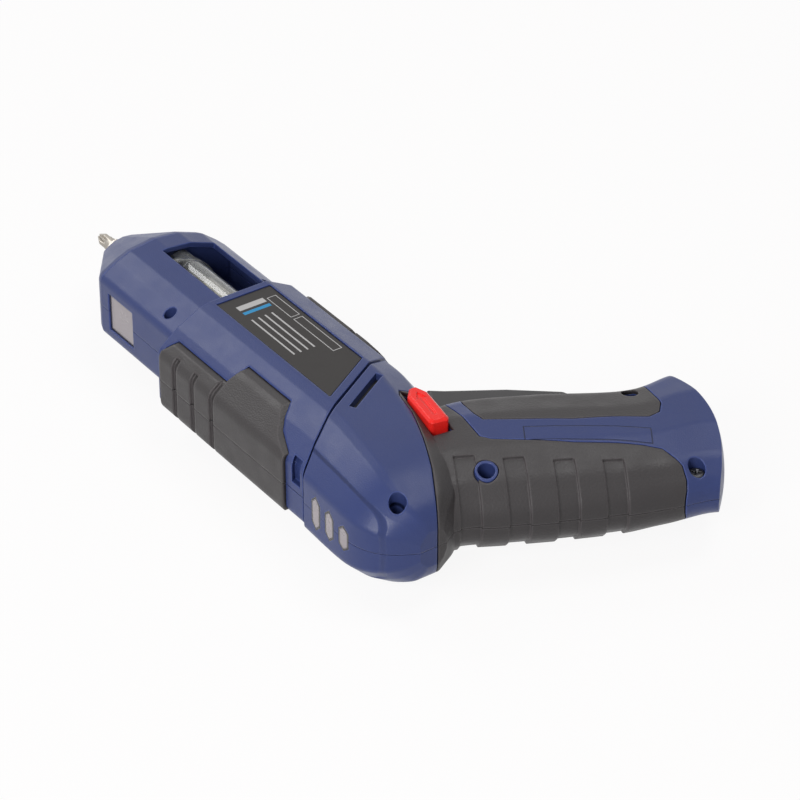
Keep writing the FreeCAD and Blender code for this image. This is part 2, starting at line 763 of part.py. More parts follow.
pivot_hole = bar(PIVOT, size.pivot_radius, -size.pivot_half_length, size.pivot_half_length)
shape_part("trigger_pin", pivot_hole)

shell = wall.cut(trigger_slot)
for item in inside:
    shell = shell.fuse(item.common(outer))
boss_ring = bar(handle_screws[0], size.boss_radius, 0, REACH)
back_grip = back_grip.cut(bar(handle_screws[0], size.boss_radius + size.seam_width, 0, REACH))
shell = shell.cut(back_recess.cut(boss_ring)).cut(front_recess)
for number, seat in enumerate(gauge_seats):
    shell = shell.cut(seat).cut(gauge_prism(number, size.grip_depth / 2))
for tool in holes + [pivot_hole, selector_slot, vents, socket_hole]:
    shell = shell.cut(tool)
shape_part("housing_right", shell.common(RIGHT_HALF))
shape_part("housing_left", shell.common(LEFT_HALF))

finger_floor = handle_form(size.finger_groove_depth, HANDLE_STATION_SHARES)
finger_grooves = []
for down, back in FINGER_GROOVE_SHARES:
    low = down * size.handle_length
    slab = handle_block(
        (back * size.handle_half_depth, 2 * size.handle_half_depth),
        (low - size.finger_groove_width / 2, low + size.finger_groove_width / 2),
        (-REACH, REACH))
    finger_grooves.append(slab.cut(finger_floor))
back_grip = back_grip.cut(Part.Compound(finger_grooves))

grip_cuts = holes + [trigger_slot, selector_slot]
for name, grip in (("grip_back", back_grip), ("grip_front", front_grip)):
    for tool in grip_cuts:
        grip = grip.cut(tool)
    shape_part(name + "_right", grip.common(RIGHT_HALF))
    shape_part(name + "_left", grip.common(LEFT_HALF))

# Guide barrel fixed in the head; the sleeve slides on its outside.
guide_depth = size.sleeve_wall + size.slide_clearance
tail_reach = size.gap_setback + size.head_length
guide_rounding = rounding_at(size.section_rounding, guide_depth)
guide = prism(sleeve_outline(guide_depth), -tail_reach, -size.guide_front, guide_rounding)
guide = guide.cut(prism(
    sleeve_outline(guide_depth + size.guide_wall), -tail_reach, -size.guide_front + size.overrun,
    guide_rounding))
guide = guide.cut(behind_gap(size.guide_tail)).cut(shell)
shape_part("guide_barrel", guide)

# Sliding unit: sleeve and front body in two shells, pads, label and windows.
ahead_of_gap = half_space(GAP_POINT + GAP_NORMAL * (size.gap_width / 2), GAP_NORMAL)


def sleeve_prism(depth, front):
    radius = rounding_at(size.section_rounding, depth)
    return prism(sleeve_outline(depth), -tail_reach, front, radius).common(ahead_of_gap)


def front_prism(depth, start, end):
    return prism(front_outline(depth), start, end, rounding_at(size.front_rounding, depth))


def plan_prism(shares, direction, margin=0.0):
    """A block above or below the tool from an outline seen along Y."""
    right = [
        (along * size.gap_setback, width * size.sleeve_half_width) for along, width in shares if width]
    left = [(along, -width) for along, width in reversed(right)]
    points = [FreeCAD.Vector(along, 0, width) for along, width in right + left]
    return grown(points, margin).extrude(Y_AXIS * direction * REACH)


sleeve_outer = sleeve_prism(0, 0)
sleeve_skin = sleeve_prism(-size.pad_proud, 0).cut(sleeve_prism(size.pad_depth, size.overrun))
pad_top = sleeve_skin.common(plan_prism(PAD_TOP_SHARES, 1))
pad_bottom = sleeve_skin.common(plan_prism(PAD_BOTTOM_SHARES, -1))
groove_floor = sleeve_prism(size.pad_groove_depth - size.pad_proud, size.overrun)
pad_recess = sleeve_skin.common(plan_prism(PAD_TOP_SHARES, 1, size.seam_width))
pad_recess = pad_recess.fuse(sleeve_skin.common(plan_prism(PAD_BOTTOM_SHARES, -1, size.seam_width)))
for share, end in PAD_GROOVE_SHARES:
    reach = end * size.sleeve_half_width
    slab = Part.makeBox(
        size.pad_groove_width, 2 * REACH, 2 * reach,
        FreeCAD.Vector(share * size.gap_setback - size.pad_groove_width / 2, -REACH, -reach))
    groove = slab.cut(groove_floor)
    pad_top = pad_top.cut(groove)
    pad_bottom = pad_bottom.cut(groove)
front_outer = front_prism(0, -size.sleeve_wall, size.front_length)
slide = sleeve_outer.fuse(front_outer)
slide = slide.cut(sleeve_prism(size.sleeve_wall, -size.sleeve_wall))
slide = slide.cut(front_prism(size.front_wall, -size.sleeve_wall, size.front_length))
slide = slide.cut(pad_recess)

label_points = [
    FreeCAD.Vector(-size.label_front, size.label_high, 0),
    FreeCAD.Vector(-size.label_front, -size.label_low, 0),
]
for height in (-size.label_low, size.label_high):
    setback = size.gap_setback + height * math.tan(math.radians(size.gap_angle))
    label_points.append(FreeCAD.Vector(-setback + size.label_setback, height, 0))
label_floor = sleeve_prism(size.label_depth, size.overrun)
label = sleeve_prism(size.label_depth - size.label_thickness, 0).cut(label_floor)
shape_part("label_plate", label.common(side_prism(label_points)).common(RIGHT_HALF))
label_recess = side_prism(label_points, size.seam_width).common(RIGHT_HALF).cut(label_floor)
slide = slide.cut(label_recess)

# Screw channel across the right of the sleeve's top, just ahead of the gap.
channel = half_space(GAP_POINT + GAP_NORMAL * (size.gap_width / 2 + size.channel_ahead), GAP_NORMAL)
channel = channel.cut(half_space(
    GAP_POINT + GAP_NORMAL * (size.gap_width / 2 + size.channel_ahead + size.channel_width), GAP_NORMAL))
channel = channel.common(Part.makeBox(
    2 * REACH, REACH, size.channel_end - size.channel_start,
    FreeCAD.Vector(-REACH, size.sleeve_half_width, size.channel_start)))
slide = slide.cut(channel.cut(sleeve_prism(size.channel_depth, size.overrun)))

window_points = [
    FreeCAD.Vector(along, height, 0)
    for along, height in (
        (0, size.window_high), (size.window_length, size.window_high),
        (size.window_length, -size.window_low), (0, -size.window_low))
]
slide = slide.cut(side_prism(window_points))
top_opening = Part.makeBox(
    size.top_window_front - size.top_window_rear, REACH, 2 * size.top_window_half_width,
    FreeCAD.Vector(size.top_window_rear, size.window_high, -size.top_window_half_width))
lens_ring = front_prism(size.top_lens_thickness / 2, 0, size.front_length).cut(
    front_prism(size.front_wall, 0, size.front_length))
shape_part("top_window", lens_ring.common(top_opening))
slide = slide.cut(top_opening)

slide_screws = []
drum_room = Part.makeCylinder(size.drum_radius + size.slide_clearance, REACH, ORIGIN, X_AXIS)
for along, up in SLIDE_SCREW_SHARES:
    point = FreeCAD.Vector(along * size.front_length, up * size.front_top, 0)
    post, hole, screw = screw_shapes(
        point, size.small_boss_radius, size.small_head_radius, size.small_screw_radius)
    post = post.common(front_outer).cut(drum_room)
    slide = slide.fuse(post).cut(hole)
    slide_screws.append(screw)
shape_part("slide_screws", Part.Compound(slide_screws))
shape_part("slide_right", slide.common(RIGHT_HALF))
shape_part("slide_left", slide.common(LEFT_HALF))
for name, pad in (("pad_top", pad_top), ("pad_bottom", pad_bottom)):
    shape_part(name + "_right", pad.common(RIGHT_HALF))
    shape_part(name + "_left", pad.common(LEFT_HALF))

# Nose cone plugged into the front body.
hub_bore = size.drum_hub_radius + size.running_clearance
bush_radius = size.spindle_radius + size.running_clearance + size.bush_wall
nose_front = size.front_length + size.nose_length
nose_wires = []
for along, wide, high in NOSE_STATION_SHARES:
    outline = [(across * wide, up * high) for across, up in front_outline(0)]
    place = size.front_length + along * size.nose_length
    nose_wires.append(section_wire(outline, place, size.front_rounding * high))
nose = Part.makeLoft(nose_wires, True, True)
nose = nose.fuse(front_prism(
    size.front_wall + size.fit_clearance, size.front_length - size.nose_spigot, size.front_length))
nose = nose.cut(Part.makeCylinder(hub_bore, REACH, FreeCAD.Vector(0, 0, 0), X_AXIS).common(
    Part.makeBox(size.front_length, REACH, REACH, FreeCAD.Vector(0, -REACH / 2, -REACH / 2))))
cavity_start = size.front_length + NOSE_CAVITY_SHARES[0] * size.nose_length
cavity_end = size.front_length + NOSE_CAVITY_SHARES[1] * size.nose_length
nose = nose.cut(Part.makeCylinder(hub_bore, cavity_start, ORIGIN, X_AXIS))
nose = nose.cut(Part.makeCone(
    NOSE_CAVITY_SHARES[2] * size.front_half_width, bush_radius, cavity_end - cavity_start,
    FreeCAD.Vector(cavity_start, 0, 0), X_AXIS))
nose = nose.cut(Part.makeCylinder(bush_radius, REACH, ORIGIN, X_AXIS).cut(
    Part.makeCylinder(bush_radius, cavity_end, ORIGIN, X_AXIS)))
slot_turn = math.radians(size.nose_slot_angle)
slot_out = FreeCAD.Vector(0, math.cos(slot_turn), math.sin(slot_turn))
slot_along = FreeCAD.Vector(0, -math.sin(slot_turn), math.cos(slot_turn))
slot_floor = bush_radius + size.nose_slot_depth
nose_slot = Part.makeBox(size.nose_slot_width, size.nose_slot_length, size.overrun)
nose_slot.Placement = FreeCAD.Placement(
    X_AXIS * (nose_front - size.nose_slot_setback) - slot_along * (size.nose_slot_length / 2)
    + slot_out * slot_floor,
    FreeCAD.Rotation(X_AXIS, slot_along, slot_out, "XYZ"))
shape_part("nose_cone", nose.cut(nose_slot))

SPINDLE_BORE = "spindle_radius + running_clearance"
BUSH_OUT = "spindle_radius + running_clearance + bush_wall"
turned("nose_bush", [
    ("front_length + nose_length - nose_bush_length", SPINDLE_BORE),
    ("front_length + nose_length", SPINDLE_BORE),
    ("front_length + nose_length", BUSH_OUT),
    ("front_length + nose_length - nose_bush_length", BUSH_OUT),
])
plate = front_prism(size.front_wall + size.fit_clearance, size.drum_end_play,
                    size.drum_end_play + size.drum_plate_thickness)
shape_part("drum_plate", plate.cut(Part.makeCylinder(hub_bore, REACH, ORIGIN, X_AXIS)))


def rod(name, radius, start, length, pitch="0", angle=0.0):
    """A bound round bar along the barrel, set out on a pitch circle."""
    item = doc.addObject("Part::Cylinder", name)
    item.Placement = FreeCAD.Placement(ORIGIN, FreeCAD.Rotation(Z_AXIS, X_AXIS))
    item.setExpression("Radius", bound(radius))
    item.setExpression("Height", bound(length))
    item.setExpression("Placement.Base.x", bound(start))
    item.setExpression("Placement.Base.y", bound(f"({pitch}) * cos({angle} deg)"))
    item.setExpression("Placement.Base.z", bound(f"({pitch}) * sin({angle} deg)"))
    return item


def hexagon(name, across, start, length):
    """A bound six-sided bar along the barrel."""
    item = doc.addObject("Part::Prism", name)
    item.Polygon = 6
    item.Placement = FreeCAD.Placement(ORIGIN, FreeCAD.Rotation(Z_AXIS, X_AXIS))
    item.setExpression("Circumradius", bound(f"({across}) / sqrt(3)"))
    item.setExpression("Height", bound(length))
    item.setExpression("Placement.Base.x", bound(start))
    return item


def joined(label, items):
    join = doc.addObject("Part::MultiFuse", label)
    join.Shapes = items
    return join


def less(label, base, tool):
    cut = doc.addObject("Part::Cut", label)
    cut.Base = base
    cut.Tool = tool
    return cut


def helper(label, corners):
    """A turned blank that is only a step towards a sub-part."""
    body = turned(label, corners)
    parts.pop(label)
    return body


# Bit drum with six chambers, and the spare bits in it.
DRUM_REAR = "2 * drum_end_play + drum_plate_thickness"
DRUM_FRONT = "front_length - nose_spigot - drum_end_play"
drum_blank = helper("drum_blank", [
    (f"{DRUM_REAR} - hub_length", "drum_bore_radius"),
    (f"{DRUM_REAR} - hub_length", "drum_hub_radius"),
    (DRUM_REAR, "drum_hub_radius"),
    (DRUM_REAR, "drum_radius"),
    (DRUM_FRONT, "drum_radius"),
    (DRUM_FRONT, "drum_hub_radius"),
    (f"{DRUM_FRONT} + hub_length", "drum_hub_radius"),
    (f"{DRUM_FRONT} + hub_length", "drum_bore_radius"),
])
chambers = [
    rod(f"chamber_{i + 1}", "chamber_radius", f"{DRUM_REAR} + drum_floor", "front_length",
        "chamber_pitch_radius", 360.0 * i / CHAMBERS)
    for i in range(CHAMBERS)
]
keep("bit_drum", less("bit_drum", drum_blank, joined("chambers", chambers)))


def bit_shape(start, pitch, angle):
    """A six-sided insert bit with a turned neck and a cross point."""
    circle = size.bit_width / math.sqrt(3)
    middle = FreeCAD.Vector(start, pitch * math.cos(angle), pitch * math.sin(angle))
    turns = [math.pi / 2 + i * math.pi / 3 for i in range(6)]
    corners = [
        middle + FreeCAD.Vector(0, circle * math.cos(turn), circle * math.sin(turn)) for turn in turns
    ]
    body_length = size.bit_length - size.bit_tip_length
    bit = Part.Face(Part.makePolygon(corners + corners[:1])).extrude(X_AXIS * body_length)
    neck = middle + X_AXIS * body_length
    neck_length = size.bit_tip_length * (1 - BIT_TIP_SHARE)
    bit = bit.fuse(Part.makeCylinder(size.bit_neck_radius, neck_length, neck, X_AXIS))
    point = neck + X_AXIS * neck_length
    return bit.fuse(Part.makeCone(
        size.bit_neck_radius, size.bit_neck_radius * BIT_TIP_SHARE,
        size.bit_tip_length * BIT_TIP_SHARE, point, X_AXIS))


drum_rear = 2 * size.drum_end_play + size.drum_plate_thickness
shape_part("spare_bits", Part.Compound([
    bit_shape(drum_rear + size.drum_floor, size.chamber_pitch_radius, 2 * math.pi * i / CHAMBERS)
    for i in range(CHAMBERS)
]))
bit_start = size.spindle_front - size.socket_depth
shape_part("bit_in_use", bit_shape(bit_start, 0, 0))

# Two-stage planetary train: motor pinion, first carrier, drive spindle.
STAGE = "(carrier_thickness + gear_width + 2 * gear_gap)"
TRAIN = "(case_front + case_front_wall + gear_gap)"
FACE = f"({TRAIN} + 2 * {STAGE})"
PITCH = f"(gear_module * {(SUN_TEETH + PLANET_TEETH) / 2})"
stage_length = size.carrier_thickness + size.gear_width + 2 * size.gear_gap
train_start = size.case_front + size.case_front_wall + size.gear_gap
motor_face = train_start + 2 * stage_length
orbit = size.gear_module * (SUN_TEETH + PLANET_TEETH) / 2


def involute_half_angle(teeth, radius, thinning):
    """Half the tooth's angle at a radius, less its share of backlash."""
    pitch_radius = size.gear_module * teeth / 2
    base = pitch_radius * math.cos(PRESSURE_ANGLE)
    roll = math.acos(min(1.0, base / max(radius, base)))
    start = math.tan(PRESSURE_ANGLE) - PRESSURE_ANGLE
    spread = math.tan(roll) - roll
    return math.pi / (2 * teeth) + start - spread - thinning / pitch_radius


def gear_face(teeth, phase, internal):
    """Tooth outline: a tooth, or for a ring the space between two, is centred on the phase."""
    pitch_radius = size.gear_module * teeth / 2
    high = (DEDENDUM_SHARE if internal else ADDENDUM_SHARE) * size.gear_module
    low = (ADDENDUM_SHARE if internal else DEDENDUM_SHARE) * size.gear_module
    thinning = size.gear_module * BACKLASH_SHARE / 2 * (-1 if internal else 1)
    radii = (pitch_radius - low, pitch_radius, pitch_radius + high)
    points = []
    for tooth in range(teeth):
        middle = phase + 2 * math.pi * tooth / teeth
        flank = [(r, involute_half_angle(teeth, r, thinning)) for r in radii]
        turns = [(r, middle - half) for r, half in flank] + [(r, middle + half) for r, half in flank[::-1]]
        points += [FreeCAD.Vector(0, r * math.cos(a), r * math.sin(a)) for r, a in turns]
    return Part.Face(Part.makePolygon(points + points[:1]))


def gear(teeth, phase, rear, length, bore, pitch=0.0, angle=0.0):
    blank = gear_face(teeth, phase, False).extrude(X_AXIS * length)
    if bore:
        blank = blank.cut(Part.makeCylinder(bore, length, ORIGIN, X_AXIS))
    blank.translate(FreeCAD.Vector(rear, pitch * math.cos(angle), pitch * math.sin(angle)))
    return blank


turned("spindle_bush", [
    ("-case_front", SPINDLE_BORE), ("-case_front", BUSH_OUT),
    ("-case_front - case_front_wall", BUSH_OUT), ("-case_front - case_front_wall", SPINDLE_BORE),
])
turned("gear_case", [
    ("-case_front", BUSH_OUT),
    ("-case_front", "gear_case_radius"),
    (f"-{FACE} - motor_seat", "gear_case_radius"),
    (f"-{FACE} - motor_seat", "motor_radius + fit_clearance"),
    (f"-{FACE}", "motor_radius + fit_clearance"),
    (f"-{FACE}", "gear_case_radius - gear_case_wall"),
    ("-case_front - case_front_wall", "gear_case_radius - gear_case_wall"),
    ("-case_front - case_front_wall", BUSH_OUT),
])
ring_length = 2 * stage_length
ring = Part.makeCylinder(size.gear_case_radius - size.gear_case_wall, ring_length, ORIGIN, X_AXIS)
ring_space = gear_face(RING_TEETH, math.pi / RING_TEETH, True).extrude(X_AXIS * ring_length)
ring = ring.cut(ring_space)
ring.translate(FreeCAD.Vector(-motor_face, 0, 0))
shape_part("ring_gear", ring)

# Drive spindle with the front carrier, its pins and the bit socket.
spindle_blank = helper("spindle_blank", [
    (f"-{TRAIN} - carrier_thickness", "0"),
    (f"-{TRAIN} - carrier_thickness", "carrier_radius"),
    (f"-{TRAIN}", "carrier_radius"),
    (f"-{TRAIN}", "spindle_radius"),
    ("spindle_front", "spindle_radius"),
    ("spindle_front", "0"),
])
pin_rods = [
    rod(f"front_pin_{i + 1}", "pin_radius", f"-{TRAIN} - {STAGE} + gear_gap",
        "gear_width + 2 * gear_gap", PITCH, 360.0 * i / PLANETS)
    for i in range(PLANETS)
]
spindle_full = joined("spindle_full", [spindle_blank] + pin_rods)
socket_tools = joined("socket_tools", [
    hexagon("socket_hexagon", "bit_width + 2 * socket_clearance", "spindle_front - socket_depth",
            "socket_depth + overrun"),
    rod("magnet_pocket", "magnet_radius", "spindle_front - socket_depth - magnet_length",
        "magnet_length + overrun"),
])
keep("drive_spindle", less("drive_spindle", spindle_full, socket_tools))
keep("bit_magnet", rod("bit_magnet", "magnet_radius", "spindle_front - socket_depth - magnet_length",
                       "magnet_length"))

second_disc = train_start + stage_length
first_carrier = Part.makeCylinder(
    size.carrier_radius, size.carrier_thickness,
    FreeCAD.Vector(-second_disc - size.carrier_thickness, 0, 0), X_AXIS)
first_carrier = first_carrier.fuse(gear(
    SUN_TEETH, 0, -second_disc, size.gear_width + size.gear_gap, 0))
pin_start = -second_disc - stage_length + size.gear_gap
for i in range(PLANETS):
    angle = 2 * math.pi * i / PLANETS
    first_carrier = first_carrier.fuse(Part.makeCylinder(
        size.pin_radius, size.gear_width + 2 * size.gear_gap,
        FreeCAD.Vector(pin_start, orbit * math.cos(angle), orbit * math.sin(angle)), X_AXIS))
shape_part("first_carrier", first_carrier)

for stage, disc in (("front", train_start), ("rear", second_disc)):
    for i in range(PLANETS):
        angle = 2 * math.pi * i / PLANETS
        rear_face = -disc - size.carrier_thickness - size.gear_gap - size.gear_width
        shape_part(f"{stage}_planet_{i + 1}", gear(
            PLANET_TEETH, angle + math.pi / PLANET_TEETH, rear_face, size.gear_width,
            size.pin_radius + size.running_clearance, orbit, angle))

# Motor: can, end cap and the rotor with its pinion.
SHAFT_BORE = "shaft_radius + running_clearance"
turned("motor_can", [
    (f"-{FACE}", SHAFT_BORE),
    (f"-{FACE}", "motor_radius"),
    (f"-{FACE} - motor_length", "motor_radius"),
    (f"-{FACE} - motor_length", "motor_radius - motor_wall"),
    (f"-{FACE} - motor_wall", "motor_radius - motor_wall"),
    (f"-{FACE} - motor_wall", SHAFT_BORE),
])
turned("motor_end_cap", [
    (f"-{FACE} - motor_length", SHAFT_BORE),
    (f"-{FACE} - motor_length", "motor_radius"),
    (f"-{FACE} - motor_length - motor_cap_length / 2", "motor_radius"),
    (f"-{FACE} - motor_length - motor_cap_length / 2", "motor_radius / 2"),
    (f"-{FACE} - motor_length - motor_cap_length", "motor_radius / 2"),
    (f"-{FACE} - motor_length - motor_cap_length", SHAFT_BORE),
])
pinion_rear = -motor_face + size.gear_gap
pinion_front = -second_disc - size.carrier_thickness - size.gear_gap
rotor_start = -motor_face - size.motor_length + 2 * size.motor_wall
rotor_end = -motor_face - 2 * size.motor_wall
shaft_start = -motor_face - size.motor_length - size.motor_cap_length / 2
rotor = gear(SUN_TEETH, 0, pinion_rear, pinion_front - pinion_rear, 0)
rotor = rotor.fuse(Part.makeCylinder(
    size.shaft_radius, pinion_front - shaft_start, FreeCAD.Vector(shaft_start, 0, 0), X_AXIS))
rotor = rotor.fuse(Part.makeCylinder(
    size.rotor_radius, rotor_end - rotor_start, FreeCAD.Vector(rotor_start, 0, 0), X_AXIS))
shape_part("rotor", rotor)

# Electrics.
cell = Part.makeCylinder(size.cell_radius, size.cell_length, cell_top, HANDLE_DOWN)
shape_part("battery_cell", cell)
shape_part("battery_contacts", Part.Compound([
    Part.makeCylinder(size.contact_radius, size.contact_thickness, on_handle(0, down), HANDLE_DOWN)
    for down in (size.cell_start - size.contact_thickness, size.cell_start + size.cell_length)
]))
switch = handle_block(
    (-size.switch_setback, -size.switch_setback + size.switch_depth),
    (size.switch_start, size.switch_start + size.switch_length),
    (-size.switch_half_width, size.switch_half_width))
switch = switch.fuse(handle_block(
    (-size.switch_setback - size.switch_depth / 4, -size.switch_setback),
    (size.switch_start + size.rib_thickness, size.switch_start + 2 * size.rib_thickness),
    (-size.switch_half_width / 2, size.switch_half_width / 2)))
shape_part("trigger_switch", switch)
padded("circuit_board", "XZ_Plane", [
    ("-board_start", "-board_half_width"), ("-board_start", "board_half_width"),
    ("-board_start - board_length", "board_half_width"),
    ("-board_start - board_length", "-board_half_width"),
], "board_thickness")

doc.recompute()
board = parts["circuit_board"]
board.Placement = FreeCAD.Placement(
    Y_AXIS * (size.board_height + size.board_thickness / 2), FreeCAD.Rotation())

# The shared frame: the origin on the floor under the middle of the whole tool.
box = FreeCAD.BoundBox()
for obj in parts.values():
    box.add(obj.Shape.optimalBoundingBox(False, False))
shift = FreeCAD.Vector(-box.Center.x, -box.Center.y, -box.ZMin)
for obj in parts.values():
    place = obj.Placement
    obj.Placement = FreeCAD.Placement(place.Base + shift, place.Rotation)

os.makedirs("parts", exist_ok=True)
for label, obj in parts.items():
    state = [word for word in obj.State if word in ("Invalid", "Error")]
    if state or obj.Shape.isNull() or not obj.Shape.isValid():
        raise RuntimeError(f"{label} is not a sound shape")
for label, obj in parts.items():
    obj.Shape.exportStep(os.path.join("parts", label + ".step"))
    where = obj.Shape.BoundBox
    print(label, len(obj.Shape.Solids), round(obj.Shape.Volume, 1),
          [round(v, 2) for v in (where.XMin, where.XMax, where.YMin, where.YMax, where.ZMin, where.ZMax)])
print("shift", [round(v, 4) for v in shift])
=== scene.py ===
import json
import math

import bmesh
import bpy
from mathutils import Matrix, Vector


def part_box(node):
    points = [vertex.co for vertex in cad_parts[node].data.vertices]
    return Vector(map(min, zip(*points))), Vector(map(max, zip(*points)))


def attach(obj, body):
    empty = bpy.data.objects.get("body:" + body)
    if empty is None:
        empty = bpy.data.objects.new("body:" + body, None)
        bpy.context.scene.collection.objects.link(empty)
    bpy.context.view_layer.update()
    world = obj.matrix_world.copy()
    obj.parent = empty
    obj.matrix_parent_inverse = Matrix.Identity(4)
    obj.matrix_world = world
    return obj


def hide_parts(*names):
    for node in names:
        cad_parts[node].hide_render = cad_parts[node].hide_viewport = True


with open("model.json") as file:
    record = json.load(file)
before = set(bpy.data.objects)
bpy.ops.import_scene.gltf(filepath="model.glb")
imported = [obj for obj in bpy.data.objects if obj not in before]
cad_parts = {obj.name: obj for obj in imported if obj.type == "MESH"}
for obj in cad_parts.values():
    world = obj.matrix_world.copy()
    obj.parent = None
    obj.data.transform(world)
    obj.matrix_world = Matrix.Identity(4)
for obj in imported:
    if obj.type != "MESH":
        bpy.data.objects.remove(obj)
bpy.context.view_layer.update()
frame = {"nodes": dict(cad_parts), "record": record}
nodes = frame["nodes"]

MM = 0.001
CIRCLE = 2 * math.pi
# The height of the parting plane and the corner of the build frame, in metres.
MID_HEIGHT = 0.0195021
CORNER = Vector((0.0342151, 0.0297414, 0.0195021))


# Steps of a shader tree

# Sockets of a colour Mix node, whose labels its other kinds share.
MIX_SHARE, MIX_FIRST, MIX_SECOND, MIX_RESULT = 0, 6, 7, 2
# Rays that feel out the edges near a point.
EDGE_SAMPLES = 10


def wire(tree, start, end):
    """A link from one socket to another."""
    tree.links.new(start, end)


def feed(tree, term, socket):
    """Links a socket to another one, or gives it a plain value."""
    if isinstance(term, bpy.types.NodeSocket):
        wire(tree, term, socket)
    else:
        socket.default_value = term


def own_place(tree):
    """Where a point lies on its own piece."""
    return tree.nodes.new("ShaderNodeTexCoord").outputs["Object"]


def axes_of(tree, place):
    """The three measures of a place."""
    node = tree.nodes.new("ShaderNodeSeparateXYZ")
    wire(tree, place, node.inputs[0])
    return node.outputs


def reckoned(tree, operation, first, second=None, kind="ShaderNodeMath"):
    """The outputs of one sum, of numbers or of vectors."""
    node = tree.nodes.new(kind)
    node.operation = operation
    feed(tree, first, node.inputs[0])
    if second is not None:
        feed(tree, second, node.inputs[1])
    return node.outputs


def number(tree, operation, first, second=None):
    return reckoned(tree, operation, first, second)["Value"]


def vector(tree, operation, first, second=None):
    return reckoned(tree, operation, first, second, "ShaderNodeVectorMath")["Vector"]


def faded(tree, value, start, end, blend="LINEAR"):
    """How far a value has come from start to end, between 0 and 1."""
    node = tree.nodes.new("ShaderNodeMapRange")
    node.interpolation_type = blend
    feed(tree, value, node.inputs["Value"])
    feed(tree, start, node.inputs["From Min"])
    feed(tree, end, node.inputs["From Max"])
    return node.outputs["Result"]


def clouds(tree, scale, detail):
    """Soft noise over the piece."""
    node = tree.nodes.new("ShaderNodeTexNoise")
    node.inputs["Detail"].default_value = detail
    wire(tree, own_place(tree), node.inputs["Vector"])
    feed(tree, scale, node.inputs["Scale"])
    return node.outputs["Fac"]


def soft_edges(tree, radius):
    """The normal of the piece as if its edges were rounded."""
    node = tree.nodes.new("ShaderNodeBevel")
    node.samples = EDGE_SAMPLES
    feed(tree, radius, node.inputs["Radius"])
    return node.outputs["Normal"]


def bumped(tree, height, normal, strength, distance, cut_in=False):
    """The normal of a surface that is raised, or cut in, by a height."""
    node = tree.nodes.new("ShaderNodeBump")
    node.invert = cut_in
    feed(tree, strength, node.inputs["Strength"])
    feed(tree, distance, node.inputs["Distance"])
    wire(tree, height, node.inputs["Height"])
    wire(tree, normal, node.inputs["Normal"])
    return node.outputs["Normal"]


def tinted(tree, mask, base, colour):
    """The base colour, changed to another where the mask is on."""
    mix = tree.nodes.new("ShaderNodeMix")
    mix.data_type = "RGBA"
    feed(tree, mask, mix.inputs[MIX_SHARE])
    feed(tree, base, mix.inputs[MIX_FIRST])
    feed(tree, colour, mix.inputs[MIX_SECOND])
    return mix.outputs[MIX_RESULT]


# Shared surface effects

def new_group(name, inputs, outputs):
    """An empty shader node group with named sockets."""
    group = bpy.data.node_groups.new(name, "ShaderNodeTree")
    for label, kind, value in inputs:
        socket = group.interface.new_socket(label, in_out="INPUT", socket_type=kind)
        socket.default_value = value
    for label, kind in outputs:
        group.interface.new_socket(label, in_out="OUTPUT", socket_type=kind)
    given = group.nodes.new("NodeGroupInput").outputs
    return group, given, group.nodes.new("NodeGroupOutput").inputs


def moulded_grain():
    """Fine spark-eroded skin of a moulding, with softened edges."""
    group, given, out = new_group(
        "moulded_grain",
        [("Grain scale", "NodeSocketFloat", 1800.0), ("Grain depth", "NodeSocketFloat", 0.15),
         ("Edge softness", "NodeSocketFloat", 0.0005)],
        [("Normal", "NodeSocketVector")])
    grain = clouds(group, given["Grain scale"], detail=3.0)
    soft = soft_edges(group, given["Edge softness"])
    wire(group, bumped(group, grain, soft, given["Grain depth"], 0.2 * MM), out["Normal"])
    return group


def pebble_grain():
    """Close pebbles of a soft over-moulded skin."""
    group, given, out = new_group(
        "pebble_grain",
        [("Pebble scale", "NodeSocketFloat", 1100.0), ("Pebble depth", "NodeSocketFloat", 0.5),
         ("Edge softness", "NodeSocketFloat", 0.0005)],
        [("Normal", "NodeSocketVector")])
    cells = group.nodes.new("ShaderNodeTexVoronoi")
    cells.feature = "SMOOTH_F1"
    cells.inputs["Smoothness"].default_value = 0.4
    wire(group, own_place(group), cells.inputs["Vector"])
    wire(group, given["Pebble scale"], cells.inputs["Scale"])
    soft = soft_edges(group, given["Edge softness"])
    pebbles = bumped(group, cells.outputs["Distance"], soft, given["Pebble depth"], 0.3 * MM, cut_in=True)
    wire(group, pebbles, out["Normal"])
    return group


def drift_and_edge_highlight():
    """A colour that drifts a little over the piece, with a painted highlight that makes it lighter along its
    edges.
    """
    group, given, out = new_group(
        "drift_and_edge_highlight",
        [("Colour", "NodeSocketColor", (0.5, 0.5, 0.5, 1.0)),
         ("Drift colour", "NodeSocketColor", (0.4, 0.4, 0.4, 1.0)),
         ("Rubbed colour", "NodeSocketColor", (0.6, 0.6, 0.6, 1.0)),
         ("Drift scale", "NodeSocketFloat", 60.0), ("Edge width", "NodeSocketFloat", 0.0007)],
        [("Colour", "NodeSocketColor"), ("Edge", "NodeSocketFloat")])
    drift = clouds(group, given["Drift scale"], detail=4.0)
    colour = tinted(group, drift, given["Colour"], given["Drift colour"])
    flat = group.nodes.new("ShaderNodeNewGeometry").outputs["True Normal"]
    soft = soft_edges(group, given["Edge width"])
    agree = reckoned(group, "DOT_PRODUCT", soft, flat, "ShaderNodeVectorMath")["Value"]
    edge = faded(group, agree, 0.995, 0.90)
    wire(group, tinted(group, edge, colour, given["Rubbed colour"]), out["Colour"])
    wire(group, edge, out["Edge"])
    return group


